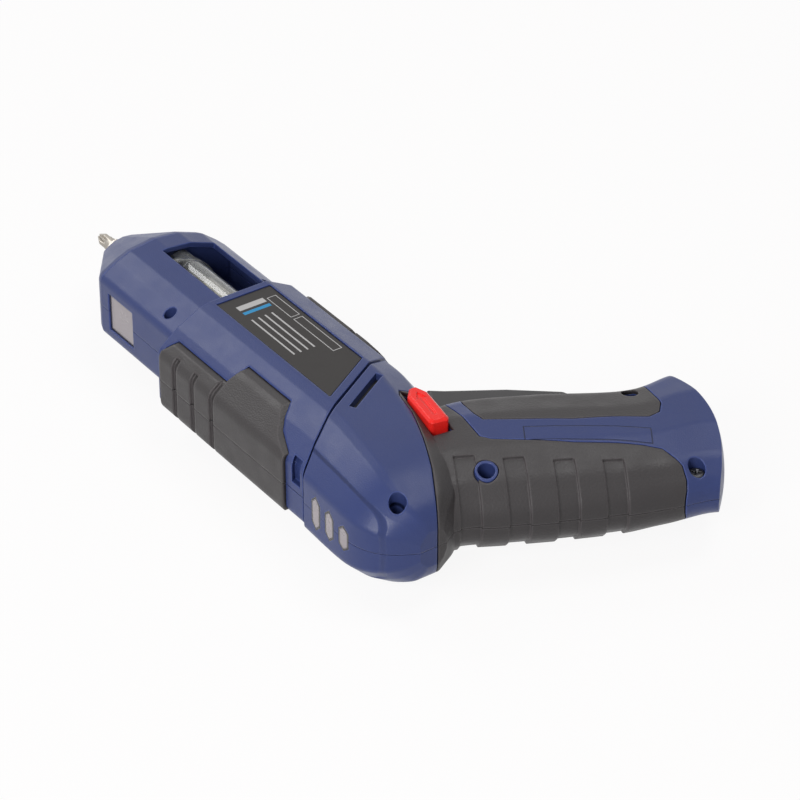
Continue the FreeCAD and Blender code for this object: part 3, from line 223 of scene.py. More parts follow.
def uneven_gloss():
    """Roughness that wanders between two values."""
    group, given, out = new_group(
        "uneven_gloss",
        [("Smooth", "NodeSocketFloat", 0.3), ("Rough", "NodeSocketFloat", 0.5),
         ("Patch scale", "NodeSocketFloat", 150.0)],
        [("Roughness", "NodeSocketFloat")])
    spread = group.nodes.new("ShaderNodeMapRange")
    spread.inputs["From Min"].default_value = 0.3
    spread.inputs["From Max"].default_value = 0.7
    wire(group, clouds(group, given["Patch scale"], detail=5.0), spread.inputs["Value"])
    wire(group, given["Smooth"], spread.inputs["To Min"])
    wire(group, given["Rough"], spread.inputs["To Max"])
    wire(group, spread.outputs["Result"], out["Roughness"])
    return group


def parting_line():
    """The fine line where the right and left mouldings meet, at one height."""
    group, given, out = new_group(
        "parting_line",
        [("Height", "NodeSocketFloat", 0.0), ("Half width", "NodeSocketFloat", 0.00012)],
        [("Line", "NodeSocketFloat")])
    height = axes_of(group, own_place(group))["Z"]
    away = number(group, "ABSOLUTE", number(group, "SUBTRACT", height, given["Height"]))
    wire(group, faded(group, away, given["Half width"], 0.0, "SMOOTHSTEP"), out["Line"])
    return group


def plain_frame():
    """A rectangle on the side of the tool: its outline and the field inside it."""
    group, given, out = new_group(
        "plain_frame",
        [("Place", "NodeSocketVector", (0.0, 0.0, 0.0)), ("Centre", "NodeSocketVector", (0.0, 0.0, 0.0)),
         ("Half size", "NodeSocketVector", (0.01, 0.01, 0.0)), ("Line width", "NodeSocketFloat", 0.0003),
         ("Softness", "NodeSocketFloat", 0.00006)],
        [("Outline", "NodeSocketFloat"), ("Field", "NodeSocketFloat")])

    def within(value, limit):
        return faded(group, value, limit, number(group, "SUBTRACT", limit, given["Softness"]))

    away = vector(group, "ABSOLUTE", vector(group, "SUBTRACT", given["Place"], given["Centre"]))
    past = axes_of(group, vector(group, "SUBTRACT", away, given["Half size"]))
    edge = number(group, "MAXIMUM", past["X"], past["Y"])
    wire(group, within(number(group, "ABSOLUTE", edge), given["Line width"]), out["Outline"])
    wire(group, within(edge, given["Softness"]), out["Field"])
    return group


GRAIN = moulded_grain()
PEBBLE = pebble_grain()
DRIFT_AND_HIGHLIGHT = drift_and_edge_highlight()
GLOSS = uneven_gloss()
PARTING = parting_line()
FRAME_LINE = plain_frame()


def placed(tree, group, **values):
    """One use of a shared effect with its own values."""
    node = tree.nodes.new("ShaderNodeGroup")
    node.node_tree = group
    for label, value in values.items():
        node.inputs[label.replace("_", " ")].default_value = value
    return node


# Finishes

BLUE = (0.0345, 0.0515, 0.1640)
CHARCOAL = (0.0320, 0.0282, 0.0295)
# Painted shade at the rim of a lens, in place of the shadow of its recess, and how strongly the edge mask lays it
# on.
LENS_RIM_SHADE = (0.02, 0.02, 0.022, 1.0)
LENS_RIM_SHADE_GAIN = 4.0
PLASTIC_INDEX = 1.49
CUT_STRENGTH = 0.8
PARTING_DEPTH = 0.2 * MM

# The plain frame line in the strip of the handle.
STRIP_CENTRE = (-0.0828, -0.0159, MID_HEIGHT)
STRIP_TURN = math.radians(58.0)
STRIP_HALF = (0.0185, 0.0030, 0.0)
STRIP_LINE = 0.00022
STRIP_SOFTNESS = 0.00015
STRIP_DEPTH = 0.3 * MM
# The line is on the right side only, this far above the parting plane.
STRIP_ABOVE = 0.008

# The panel round the charge gauge, in millimetres of the build frame: where its round end starts, and its reach.
PANEL_START = (-80.0, 10.0, 0.0)
PANEL_REACH = (34.0, 10.0, 14.0)
PANEL_POWER = 4.0
PANEL_BORDER = (1.12, 0.88)
PANEL_DEPTH = 2.0 * MM

PRINT_GREY = (0.50, 0.49, 0.49, 1.0)
PRINT_BLUE = (0.02, 0.27, 0.55, 1.0)
PRINT_LINE = 0.00016
# Plain marks of the label: centre and half size in millimetres, colour, filled or outlined.
LABEL_MARKS = [
    ((-14.5, -8.4), (6.5, 1.5), PRINT_GREY, False),
    ((-33.0, -8.4), (10.5, 1.5), PRINT_GREY, False),
    ((-8.2, -1.0), (1.2, 4.8), PRINT_GREY, True),
    ((-11.4, -1.0), (0.7, 4.8), PRINT_BLUE, True),
] + [((-27.0, across), (11.5, 0.25), PRINT_GREY, True) for across in (-3.6, -1.2, 1.2, 3.6)]


def shaded(colour, share):
    """A lighter or darker step of a colour."""
    return tuple(min(1.0, channel * share) for channel in colour[:3]) + (1.0,)


def sunk(tree, mask, normal, depth):
    """The normal of a surface that is cut in where the mask is on."""
    return bumped(tree, mask, normal, CUT_STRENGTH, depth, cut_in=True)


class Finish:
    """A material with drifting colour, painted highlights along its edges and uneven gloss, and the ends of its
    node chains.
    """

    def __init__(self, name, colour, gloss, metallic=0.0, rub=1.5, edge_width=0.0006, specular=0.5):
        self.material = bpy.data.materials.new(name)
        self.material.use_nodes = True
        self.tree = self.material.node_tree
        self.shader = self.tree.nodes["Principled BSDF"]
        # The lighter colour along the edges is a painted highlight, where light would catch the rounded edges.
        tint = placed(self.tree, DRIFT_AND_HIGHLIGHT, Colour=shaded(colour, 1.05), Drift_colour=shaded(colour, 0.93),
                      Rubbed_colour=shaded(colour, rub), Edge_width=edge_width)
        sheen = placed(self.tree, GLOSS, Smooth=gloss[0], Rough=gloss[1])
        wire(self.tree, sheen.outputs["Roughness"], self.shader.inputs["Roughness"])
        self.shader.inputs["Metallic"].default_value = metallic
        self.shader.inputs["Specular IOR Level"].default_value = specular
        self.material.diffuse_color = tuple(colour[:3]) + (1.0,)
        self.colour = tint.outputs["Colour"]
        self.edge = tint.outputs["Edge"]
        self.normal = None

    def skin(self, group, **values):
        """The grain of the surface."""
        self.normal = placed(self.tree, group, **values).outputs["Normal"]
        return self

    def split_line(self, colour):
        """The line between the right and left mouldings."""
        line = placed(self.tree, PARTING, Height=MID_HEIGHT).outputs["Line"]
        self.colour = tinted(self.tree, line, self.colour, colour)
        self.normal = sunk(self.tree, line, self.normal, PARTING_DEPTH)
        return self

    def done(self):
        """The material, with its chains joined to the shader."""
        wire(self.tree, self.colour, self.shader.inputs["Base Color"])
        wire(self.tree, self.normal, self.shader.inputs["Normal"])
        return self.material


def moulded(name, colour, gloss, grain_scale, grain_depth, edge=0.0005, **more):
    """A hard surface with fine grain."""
    return Finish(name, colour, gloss, **more).skin(
        GRAIN, Grain_scale=grain_scale, Grain_depth=grain_depth, Edge_softness=edge)


def soft_touch(name, colour, gloss, pebble_scale, pebble_depth, edge, **more):
    """A soft surface with fine pebbles."""
    return Finish(name, colour, gloss, **more).skin(
        PEBBLE, Pebble_scale=pebble_scale, Pebble_depth=pebble_depth, Edge_softness=edge)


def clear_moulding(name, colour, gloss, transmission, rim=None):
    """A see-through moulding. A lens gets a painted shade rim, darker where it meets its seat, in place of the
    shadow of its recess.
    """
    finish = moulded(name, colour, gloss, 900.0, 0.03, edge=0.0003, rub=1.0, edge_width=0.0018)
    if rim is not None:
        # The darker rim is painted shade from the recess that the lens sits in.
        rim_shade_mask = number(finish.tree, "MINIMUM", number(finish.tree, "MULTIPLY", finish.edge, LENS_RIM_SHADE_GAIN), 1.0)
        finish.colour = tinted(finish.tree, rim_shade_mask, finish.colour, rim)
    finish.shader.inputs["Transmission Weight"].default_value = transmission
    finish.shader.inputs["IOR"].default_value = PLASTIC_INDEX
    return finish.done()


def blue_plastic(name):
    """Satin shell plastic with fine spark grain."""
    finish = moulded(name, BLUE, (0.28, 0.38), 3000.0, 0.30, edge=0.0007, rub=1.8, specular=0.27)
    return finish.split_line(shaded(BLUE, 0.25))


def in_frame(tree, place, **frame_values):
    """A place as seen from a frame of its own."""
    node = tree.nodes.new("ShaderNodeMapping")
    node.vector_type = "TEXTURE"
    for label, value in frame_values.items():
        node.inputs[label].default_value = value
    wire(tree, place, node.inputs["Vector"])
    return node.outputs["Vector"]


def strip_frame(tree, place):
    """The plain frame line on the right side of the handle."""
    along = in_frame(tree, place, Location=STRIP_CENTRE, Rotation=(0.0, 0.0, STRIP_TURN))
    line = placed(tree, FRAME_LINE, Half_size=STRIP_HALF, Line_width=STRIP_LINE, Softness=STRIP_SOFTNESS)
    wire(tree, along, line.inputs["Place"])
    right_side = number(tree, "GREATER_THAN", axes_of(tree, along)["Z"], STRIP_ABOVE)
    return number(tree, "MULTIPLY", right_side, line.outputs["Outline"])


def gauge_panel(tree, place):
    """The low panel round the charge gauge on top of the head, with a round rear end."""
    share = axes_of(tree, in_frame(tree, place, Location=CORNER + Vector(PANEL_START) * MM,
                                   Scale=Vector(PANEL_REACH) * MM))
    behind = number(tree, "POWER", number(tree, "MINIMUM", share["X"], 0.0), PANEL_POWER)
    beside = number(tree, "POWER", share["Z"], PANEL_POWER)
    inside = faded(tree, number(tree, "ADD", behind, beside), *PANEL_BORDER, "SMOOTHSTEP")
    return number(tree, "MULTIPLY", inside, number(tree, "GREATER_THAN", share["Y"], 0.0))


def housing_plastic():
    """Shell plastic of the housing, with the frame line of the strip and the gauge panel cut in."""
    finish = blue_plastic("blue_housing")
    place = own_place(finish.tree)
    line = strip_frame(finish.tree, place)
    finish.colour = tinted(finish.tree, line, finish.colour, shaded(BLUE, 0.35))
    finish.normal = sunk(finish.tree, line, finish.normal, STRIP_DEPTH)
    finish.normal = sunk(finish.tree, gauge_panel(finish.tree, place), finish.normal, PANEL_DEPTH)
    return finish.done()


def label_print():
    """Dark printed film with blank outlined fields, rules and bars."""
    finish = moulded("label_film", (0.0200, 0.0170, 0.0160), (0.34, 0.42), 700.0, 0.03, rub=1.1, specular=0.3)
    place = own_place(finish.tree)
    for centre, half, colour, filled in LABEL_MARKS:
        mark = placed(finish.tree, FRAME_LINE, Half_size=(half[0] * MM, half[1] * MM, 0.0), Line_width=PRINT_LINE,
                      Centre=(CORNER.x + centre[0] * MM, CORNER.y + centre[1] * MM, 0.0))
        wire(finish.tree, place, mark.inputs["Place"])
        printed = mark.outputs["Field" if filled else "Outline"]
        finish.colour = tinted(finish.tree, printed, finish.colour, colour)
    return finish.done()


blue_housing = housing_plastic()
blue_slide = blue_plastic("blue_slide").done()
charcoal_grip = soft_touch("charcoal_grip", CHARCOAL, (0.42, 0.54), 1500.0, 0.22, edge=0.0009, rub=2.0,
                           edge_width=0.0010, specular=0.42).split_line(shaded(CHARCOAL, 0.3)).done()
pad_rubber = soft_touch("pad_rubber", CHARCOAL, (0.40, 0.52), 2100.0, 0.22, edge=0.0012, rub=2.2,
                        edge_width=0.0012, specular=0.45).split_line(shaded(CHARCOAL, 0.4)).done()
black_moulding = moulded("black_moulding", (0.020, 0.020, 0.022), (0.38, 0.5), 1400.0, 0.12).done()
trigger_black = moulded("trigger_black", (0.030, 0.028, 0.030), (0.40, 0.5), 1400.0, 0.12).done()
red_button = moulded("red_button", (0.98, 0.022, 0.017), (0.22, 0.32), 900.0, 0.05,
                     rub=1.1, specular=0.3).done()
label_film = label_print()
smoke_lens = clear_moulding("smoke_lens", (0.42, 0.38, 0.40), (0.24, 0.32), 0.2, rim=LENS_RIM_SHADE)
clear_drum = clear_moulding("clear_drum", (0.60, 0.61, 0.61), (0.05, 0.09), 0.85)
bit_metal = moulded("bit_metal", (0.40, 0.37, 0.33), (0.30, 0.42), 800.0, 0.10,
                    metallic=1.0, rub=1.2, edge=0.0002).done()
ground_steel = moulded("ground_steel", (0.58, 0.58, 0.59), (0.22, 0.34), 900.0, 0.10,
                       metallic=1.0, rub=1.2).done()
black_screw = moulded("black_screw", (0.050, 0.050, 0.055), (0.30, 0.42), 900.0, 0.10,
                      metallic=0.8, rub=2.0, edge=0.00015, edge_width=0.0002).done()
sintered_bronze = moulded("sintered_bronze", (0.52, 0.36, 0.18), (0.35, 0.5), 1600.0, 0.25, metallic=1.0).done()
nylon = moulded("nylon", (0.74, 0.73, 0.68), (0.42, 0.55), 1200.0, 0.10, rub=1.05).done()
case_grey = moulded("case_grey", (0.16, 0.16, 0.17), (0.42, 0.55), 1200.0, 0.12).done()
zinc_plate = moulded("zinc_plate", (0.60, 0.60, 0.61), (0.28, 0.42), 400.0, 0.08, metallic=1.0, rub=1.1).done()
cell_wrap = moulded("cell_wrap", (0.04, 0.20, 0.10), (0.2, 0.3), 300.0, 0.03).done()
solder_mask = moulded("solder_mask", (0.015, 0.14, 0.05), (0.25, 0.35), 500.0, 0.05).done()

# The finish of each material slot, and the nodes that differ from their slot.
FINISHES = {
    "blue_plastic": blue_slide, "soft_grip": charcoal_grip, "clear_plastic": clear_drum,
    "smoke_lens": smoke_lens, "red_plastic": red_button, "black_plastic": black_moulding,
    "label_film": label_film, "steel": ground_steel, "bit_steel": bit_metal,
    "screw_steel": black_screw, "bronze": sintered_bronze, "gear_nylon": nylon,
    "gear_case_grey": case_grey, "zinc_can": zinc_plate, "cell_wrap": cell_wrap,
    "contact_plate": zinc_plate, "board": solder_mask,
}
OWN_FINISHES = {"trigger": trigger_black, "housing_right": blue_housing, "housing_left": blue_housing}
for entry in frame["record"]["subparts"]:
    node = entry["node"]
    finish = pad_rubber if node.startswith("pad_") else FINISHES[entry["material_slot"]]
    mesh = nodes[node].data
    mesh.materials.clear()
    mesh.materials.append(OWN_FINISHES.get(node, finish))


# Pieces that stand for plain solids

BIT_FLATS = 6.35
BIT_SEED = 3
NO_TURN = (0.0, 0.0, 0.0)
# A screw stops at any angle: the most that it is turned, and the height of its head for a head radius of 1.
SCREW_TURN = (0.0, 0.0, 6.28)
SCREW_HEAD = 0.8


def as_mesh(name, shape, sharp):
    """A plain mesh from worked faces: merged, facing outwards, smooth up to an angle."""
    bmesh.ops.remove_doubles(shape, verts=shape.verts, dist=1e-7)
    bmesh.ops.recalc_face_normals(shape, faces=shape.faces)
    mesh = bpy.data.meshes.new(name)
    shape.to_mesh(mesh)
    shape.free()
    for face in mesh.polygons:
        face.use_smooth = True
    mesh.set_sharp_from_angle(angle=math.radians(sharp))
    return mesh


def shown(name, mesh, material=None):
    """A piece in the scene, with a finish if one is given."""
    if material is not None:
        mesh.materials.append(material)
    piece = bpy.data.objects.new(name, mesh)
    bpy.context.scene.collection.objects.link(piece)
    return piece


def loop_of(shape, points):
    return [shape.verts.new(point) for point in points]


def pairs_round(loop):
    """Each point of a closed loop with the next one."""
    return [(loop[i], loop[(i + 1) % len(loop)]) for i in range(len(loop))]


def skinned(shape, *loops):
    """Faces between loops that follow each other, all with the same number of points."""
    for first, second in zip(loops, loops[1:]):
        for (a, b), (c, d) in zip(pairs_round(first), pairs_round(second)):
            shape.faces.new((a, b, d, c))


def capped(shape, loop, middle):
    """Faces from a loop to one point."""
    point = shape.verts.new(middle)
    for first, second in pairs_round(loop):
        shape.faces.new((first, second, point))


def filled(shape, loops):
    """Flat faces between an outline and the openings in it."""
    edges = [shape.edges.get(pair) or shape.edges.new(pair) for loop in loops for pair in pairs_round(loop)]
    bmesh.ops.triangle_fill(shape, use_beauty=True, use_dissolve=False, edges=edges)


def around_axis(along, radii, centre=(0.0, 0.0)):
    """Points round the barrel axis at one place along it, in millimetres."""
    count = len(radii)
    return [Vector((along, centre[0] + radius * math.cos(CIRCLE * i / count),
                    centre[1] + radius * math.sin(CIRCLE * i / count))) * MM
            for i, radius in enumerate(radii)]


def bit_mesh():
    """An insert bit along X from its foot: six-sided shank, turned neck and a cross point with four flutes."""
    count = 72
    neck, neck_end = 2.3, 18.4
    point, steps, tip = 6.5, 10, 24.98
    taper_start, taper_length, taper_drop = 21.85, 3.15, 1.495
    flute_depth, flute_run = 0.52, 2.6
    blade_half, blade_blend = 30.0, 14.0
    angles = [360.0 * i / count for i in range(count)]
    six = [BIT_FLATS / 2 / math.cos(math.radians((angle + 30.0) % 60.0 - 30.0)) for angle in angles]

    def turned_down(most):
        return [min(radius, most) for radius in six]

    sections = [(0.0, turned_down(2.9)), (0.5, turned_down(3.45)), (0.8, six), (15.3, six),
                (15.7, turned_down(3.35)), (16.2, [2.55] * count), (16.6, [neck] * count),
                (neck_end, [neck] * count)]
    for step in range(1, steps + 1):
        along = neck_end + point * step / steps
        outside = neck
        if along >= taper_start:
            outside = neck - taper_drop * (along - taper_start) / taper_length
        hollow = 1.0 - flute_depth * min(1.0, (along - neck_end) / flute_run)
        radii = []
        for angle in angles:
            off = abs((angle + 45.0) % 90.0 - 45.0)
            blade = max(0.0, min(1.0, (blade_half - off) / blade_blend))
            blade = blade * blade * (3 - 2 * blade)
            radii.append(outside * (hollow + (1.0 - hollow) * blade))
        sections.append((along, radii))
    shape = bmesh.new()
    loops = [loop_of(shape, around_axis(along, radii)) for along, radii in sections]
    skinned(shape, *loops)
    capped(shape, loops[0], (0.0, 0.0, 0.0))
    capped(shape, loops[-1], (tip * MM, 0.0, 0.0))
    return as_mesh("bit_pattern", shape, sharp=28.0)


def screw_mesh():
    """A pan-head screw down from its seat: cross recess, rounded head and a threaded shank. Head radius 1."""
    count = 24
    head_side = [(0.93, 0.72), (0.99, 0.55), (1.0, 0.35), (1.0, 0.0), (0.54, 0.0)]
    pitch, rows, thread_length = 0.30, 56, 3.9
    core, tooth_height = 0.40, 0.14
    taper_end, taper_length, tip = 4.4, 0.9, -4.2
    shape = bmesh.new()

    def ring(radius, height):
        return loop_of(shape, [(radius * math.cos(CIRCLE * i / count),
                                radius * math.sin(CIRCLE * i / count), height) for i in range(count)])

    def cross(half, reach, height):
        corners = [(half, half), (half, reach), (-half, reach), (-half, half), (-reach, half), (-reach, -half),
                   (-half, -half), (-half, -reach), (half, -reach), (half, -half), (reach, -half), (reach, half)]
        return loop_of(shape, [(x, y, height) for x, y in corners])

    rim = ring(0.80, SCREW_HEAD)
    mouth = cross(0.15, 0.58, SCREW_HEAD)
    filled(shape, [rim, mouth])
    foot = cross(0.11, 0.34, 0.30)
    skinned(shape, mouth, foot)
    capped(shape, foot, (0.0, 0.0, 0.28))
    loops = [rim] + [ring(radius, height) for radius, height in head_side]
    for row in range(rows):
        drop = thread_length * (row + 1) / rows
        taper = min(1.0, (taper_end - drop) / taper_length)
        points = []
        for i in range(count):
            phase = (drop / pitch + i / count) % 1.0
            tooth = 1.0 - abs(2.0 * phase - 1.0)
            radius = (core + tooth_height * tooth) * taper
            angle = CIRCLE * i / count
            points.append((radius * math.cos(angle), radius * math.sin(angle), -drop))
        loops.append(loop_of(shape, points))
    skinned(shape, *loops)
    capped(shape, loops[-1], (0.0, 0.0, tip))
    return as_mesh("screw_pattern", shape, sharp=40.0)


def copies_tree():
    """Copies of one pattern at each point of the piece, each turned by its own seeded amount."""
    tree = bpy.data.node_groups.new("seated_copies", "GeometryNodeTree")
    tree.interface.new_socket("Geometry", in_out="OUTPUT", socket_type="NodeSocketGeometry")
    for label, kind in (("Seats", "Geometry"), ("Pattern", "Object"), ("Finish", "Material"), ("Size", "Float"),
                        ("Most turn", "Vector"), ("Seed", "Int")):
        tree.interface.new_socket(label, in_out="INPUT", socket_type="NodeSocket" + kind)
    given = tree.nodes.new("NodeGroupInput").outputs
    out = tree.nodes.new("NodeGroupOutput").inputs
    pattern = tree.nodes.new("GeometryNodeObjectInfo")
    turn = tree.nodes.new("FunctionNodeRandomValue")
    turn.data_type = "FLOAT_VECTOR"
    seat = tree.nodes.new("GeometryNodeInstanceOnPoints")
    solid = tree.nodes.new("GeometryNodeRealizeInstances")
    finish = tree.nodes.new("GeometryNodeSetMaterial")
    # The first two sockets are the least and the most of a random vector.
    turn.inputs[0].default_value = NO_TURN
    wire(tree, given["Most turn"], turn.inputs[1])
    wire(tree, given["Seed"], turn.inputs["Seed"])
    wire(tree, given["Seats"], seat.inputs["Points"])
    wire(tree, given["Pattern"], pattern.inputs["Object"])
    wire(tree, pattern.outputs["Geometry"], seat.inputs["Instance"])
    wire(tree, turn.outputs[0], seat.inputs["Rotation"])
    wire(tree, given["Size"], seat.inputs["Scale"])
    wire(tree, seat.outputs["Instances"], solid.inputs["Geometry"])
    wire(tree, solid.outputs["Geometry"], finish.inputs["Geometry"])
    wire(tree, given["Finish"], finish.inputs["Material"])
    wire(tree, finish.outputs["Geometry"], out["Geometry"])
    return tree


COPIES = copies_tree()


def seated_copies(name, seats, pattern, material, size, turn, seed):
    """One plain mesh of copies of a pattern, set at the seats."""
    points = bpy.data.meshes.new(name + "_seats")
    points.from_pydata([tuple(seat) for seat in seats], [], [])
    piece = shown(name, points)
    maker = piece.modifiers.new("copies", "NODES")
    maker.node_group = COPIES
    values = {"Pattern": pattern, "Finish": material, "Size": size, "Most turn": turn, "Seed": seed}
    for item in COPIES.interface.items_tree:
        if item.in_out == "INPUT" and item.name in values:
            maker[item.identifier] = values[item.name]
    bpy.context.view_layer.update()
    graph = bpy.context.evaluated_depsgraph_get()
    mesh = bpy.data.meshes.new_from_object(piece.evaluated_get(graph))
    piece.modifiers.remove(maker)
    piece.data = mesh
    mesh.name = name
    bpy.data.meshes.remove(points)
    return piece


def islands(node):
    """The boxes of the loose solids in one node."""
    work = bmesh.new()
    work.from_mesh(nodes[node].data)
    bmesh.ops.remove_doubles(work, verts=work.verts, dist=1e-6)
    left = set(work.verts)
    boxes = []
    while left:
        stack = [left.pop()]
        points = []
        while stack:
            vert = stack.pop()
            points.append(vert.co.copy())
            for edge in vert.link_edges:
                other = edge.other_vert(vert)
                if other in left:
                    left.remove(other)
                    stack.append(other)
        low = Vector([min(point[k] for point in points) for k in range(3)])
        high = Vector([max(point[k] for point in points) for k in range(3)])
        boxes.append((low, high))
    work.free()
    return sorted(boxes, key=lambda box: tuple(box[0]))


def fit_screws(node, name, body, seed):
    """Screws with a cross recess in the seats of the plain ones."""
    pattern = shown("screw_pattern", screw_mesh())
    boxes = islands(node)
    radius = (boxes[0][1].x - boxes[0][0].x) / 2
    seats = [((low.x + high.x) / 2, (low.y + high.y) / 2, high.z - SCREW_HEAD * radius) for low, high in boxes]
    screws = seated_copies(name, seats, pattern, black_screw, radius, SCREW_TURN, seed)
    bpy.data.objects.remove(pattern)
    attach(screws, body)
    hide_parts(node)


def fit_bits():
    """Six spare bits in the drum and one in the spindle, each with a cross point."""
    pattern = shown("bit_pattern", bit_mesh())
    low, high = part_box("spare_bits")
    middle = (low + high) / 2
    pitch = (high.y - low.y) / 2 - BIT_FLATS / 2 * MM
    seats = [(low.x, middle.y + pitch * math.cos(math.pi * i / 3), middle.z + pitch * math.sin(math.pi * i / 3))
             for i in range(6)]
    spares = seated_copies("spare_bit_set", seats, pattern, bit_metal, 1.0, NO_TURN, BIT_SEED)
    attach(spares, "drum")
    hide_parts("spare_bits")
    low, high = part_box("bit_in_use")
    middle = (low + high) / 2
    seat = (low.x, middle.y, middle.z)
    fitted = seated_copies("fitted_bit", [seat], pattern, bit_metal, 1.0, NO_TURN, BIT_SEED)
    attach(fitted, "spindle")
    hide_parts("bit_in_use")
    bpy.data.objects.remove(pattern)


def clear_drum_piece():
    """The see-through bit drum: six tubes side by side, with a flange behind and a band in front, on a hub."""
    low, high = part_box("bit_drum")
    middle = (low + high) / 2
    radius = (high.y - low.y) / 2 / MM
    hub, bore, pitch, chamber = 6.0, 4.9, 9.9, 3.8
    collar = 3.5
    rear, front = collar, (high.x - low.x) / MM - collar
    chamber_floor = rear + 2.2
    count, mouth_count = 180, 48
    wall = radius - pitch
    web = radius * 0.79
    lobes = []
    for i in range(count):
        off = math.radians((360.0 * i / count + 30.0) % 60.0 - 30.0)
        room = wall * wall - (pitch * math.sin(off)) ** 2
        tube = pitch * math.cos(off) + math.sqrt(room) if room > 0 else 0.0
        lobes.append(max(tube, web))

    def ring(size):
        return [size] * count

    # From the rear: the collar, the flange, the tubes, the band, and the tubes again.
    sections = [(0.0, ring(bore)), (0.0, ring(hub)), (rear, ring(hub)), (rear, ring(radius - 0.4)),
                (rear + 0.4, ring(radius)), (rear + 1.8, ring(radius)), (rear + 2.0, ring(radius - 0.2)),
                (rear + 2.05, lobes), (front - 7.8, lobes), (front - 7.75, ring(radius - 0.25)),
                (front - 7.5, ring(radius)), (front - 5.5, ring(radius)), (front - 5.25, ring(radius - 0.25)),
                (front - 5.2, lobes), (front - 0.4, lobes), (front, [size - 0.3 for size in lobes])]
    shape = bmesh.new()
    loops = [loop_of(shape, around_axis(along, radii)) for along, radii in sections]
    skinned(shape, *loops)
    neck = [loop_of(shape, around_axis(along, ring(size)))
            for along, size in ((front, hub), (front + collar, hub), (front + collar, bore))]
    skinned(shape, *neck, loops[0])
    mouths = []
    for i in range(6):
        angle = math.pi * i / 3
        centre = (pitch * math.cos(angle), pitch * math.sin(angle))
        mouth = loop_of(shape, around_axis(front, [chamber] * mouth_count, centre))
        floor = loop_of(shape, around_axis(chamber_floor, [chamber] * mouth_count, centre))
        skinned(shape, mouth, floor)
        capped(shape, floor, Vector((chamber_floor, centre[0], centre[1])) * MM)
        mouths.append(mouth)
    filled(shape, [loops[-1], neck[0]] + mouths)
    bmesh.ops.translate(shape, verts=shape.verts, vec=(low.x, middle.y, middle.z))
    drum = shown("clear_bit_drum", as_mesh("clear_bit_drum", shape, sharp=30.0), clear_drum)
    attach(drum, "drum")
    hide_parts("bit_drum")


fit_screws("housing_screws", "housing_screw_set", "housing", 11)
fit_screws("slide_screws", "slide_screw_set", "slide_unit", 12)
fit_bits()
clear_drum_piece()


# Floor, light and camera

FLOOR_GLOW = 0.92
FLOOR_REACH = 12.0
FLOOR_HEIGHT = -0.0002
WORLD_LEVEL = 0.18
LIGHT_AIM = (0.0, 0.0, 0.02)
# Soft lights: place and size in metres, power in watts.
SOFT_BOXES = [
    ("ridge_box", (0.74, 0.20, 0.70), (0.42, 0.42), 2.4),
    ("top_box", (-0.10, -0.30, 1.00), (0.5, 0.5), 3.0),
    ("handle_box", (-0.45, 0.80, 0.55), (0.4, 0.5), 6.4),
]
# A point of the barrel axis that the camera was fitted to, and how far the camera is right, down and back of it.
SIGHT = (0.0682151, 0.0306414, 0.0195021)
CAMERA_RIGHT, CAMERA_DOWN, CAMERA_BACK = 0.0708, 0.0316, 1.150
SENSOR_WIDTH = 36.0
FOCAL_POINTS, FRAME_POINTS = 3680.0, 800.0


def white_surround(tree, share):
    """A mask of the rays that see the surround itself: straight, mirrored or through clear plastic."""
    rays = tree.nodes.new("ShaderNodeLightPath").outputs
    straight = number(tree, "MAXIMUM", rays["Is Camera Ray"], rays["Is Glossy Ray"])
    every = number(tree, "MAXIMUM", straight, rays["Is Transmission Ray"])
    return number(tree, "MULTIPLY", every, share)


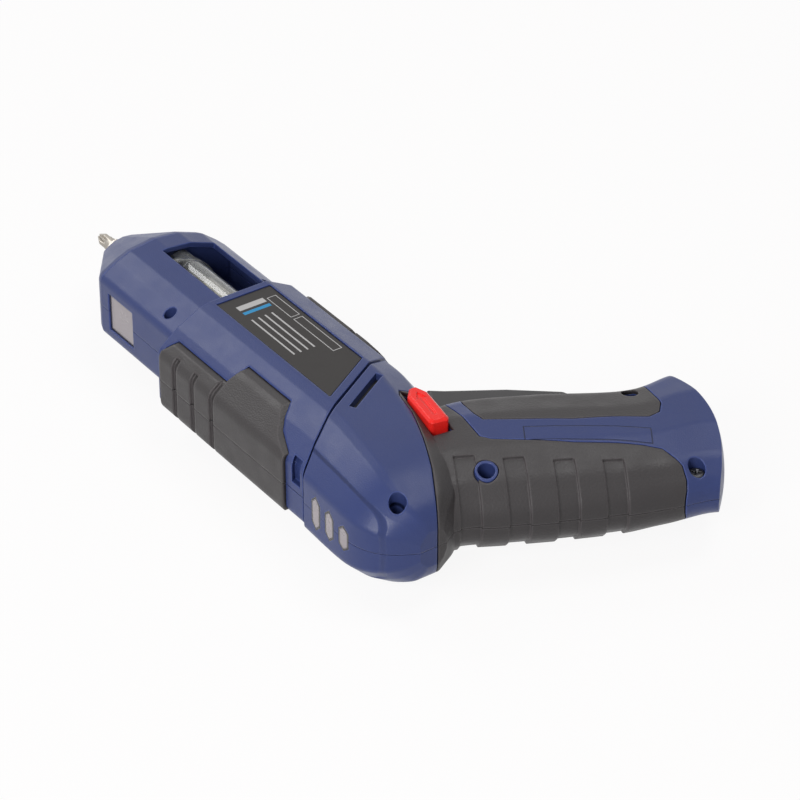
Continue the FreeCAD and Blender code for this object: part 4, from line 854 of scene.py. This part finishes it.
def pale_floor():
    """A plain floor that looks white but keeps the shadow."""
    material = bpy.data.materials.new("pale_floor")
    material.use_nodes = True
    tree = material.node_tree
    shader = tree.nodes["Principled BSDF"]
    shader.inputs["Base Color"].default_value = (0.93, 0.92, 0.92, 1.0)
    shader.inputs["Roughness"].default_value = 0.9
    glow = tree.nodes.new("ShaderNodeEmission")
    glow.inputs["Color"].default_value = (1.0, 0.995, 0.995, 1.0)
    mix = tree.nodes.new("ShaderNodeMixShader")
    wire(tree, white_surround(tree, FLOOR_GLOW), mix.inputs[0])
    wire(tree, shader.outputs[0], mix.inputs[1])
    wire(tree, glow.outputs[0], mix.inputs[2])
    wire(tree, mix.outputs[0], tree.nodes["Material Output"].inputs["Surface"])
    mesh = bpy.data.meshes.new("floor")
    corners = [(-1.0, -1.0), (1.0, -1.0), (1.0, 1.0), (-1.0, 1.0)]
    mesh.from_pydata([(x * FLOOR_REACH, y * FLOOR_REACH, FLOOR_HEIGHT) for x, y in corners], [], [(0, 1, 2, 3)])
    floor = shown("floor", mesh, material)


def soft_box(name, place, size, power):
    """A soft light that faces the tool."""
    lamp = bpy.data.lights.new(name, "AREA")
    lamp.shape = "RECTANGLE"
    lamp.size, lamp.size_y = size
    lamp.energy = power
    holder = bpy.data.objects.new(name, lamp)
    holder.location = place
    holder.rotation_euler = (Vector(LIGHT_AIM) - Vector(place)).to_track_quat("-Z", "Y").to_euler()
    bpy.context.scene.collection.objects.link(holder)


def studio_light():
    """A dim surround that is seen as white, and the soft lights."""
    world = bpy.data.worlds.new("studio")
    world.use_nodes = True
    tree = world.node_tree
    back = tree.nodes["Background"]
    back.inputs["Color"].default_value = (1.0, 1.0, 1.0, 1.0)
    level = tree.nodes.new("ShaderNodeMapRange")
    level.inputs["To Min"].default_value = WORLD_LEVEL
    level.inputs["To Max"].default_value = 1.0
    wire(tree, white_surround(tree, 1.0), level.inputs["Value"])
    wire(tree, level.outputs["Result"], back.inputs["Strength"])
    bpy.context.scene.world = world
    for name, place, size, power in SOFT_BOXES:
        soft_box(name, place, size, power)


def photo_camera():
    """The camera fitted to the photograph, for a square frame."""
    right = Vector((-0.5764, -0.8171, 0.0)).normalized()
    down = Vector((-0.4569, 0.3223, -0.8290))
    down = (down - right * down.dot(right)).normalized()
    back = right.cross(-down)
    place = Vector(SIGHT) + right * CAMERA_RIGHT + down * CAMERA_DOWN + back * CAMERA_BACK
    camera = bpy.data.cameras.new("camera")
    camera.sensor_width = SENSOR_WIDTH
    camera.lens = FOCAL_POINTS / FRAME_POINTS * SENSOR_WIDTH
    camera.clip_start = 0.05
    camera.clip_end = 60.0
    holder = bpy.data.objects.new("camera", camera)
    turn = Matrix((right, -down, back)).transposed()
    holder.matrix_world = Matrix.Translation(place) @ turn.to_4x4()
    bpy.context.scene.collection.objects.link(holder)
    bpy.context.scene.camera = holder


pale_floor()
studio_light()
photo_camera()
bpy.context.scene.view_settings.view_transform = "Standard"
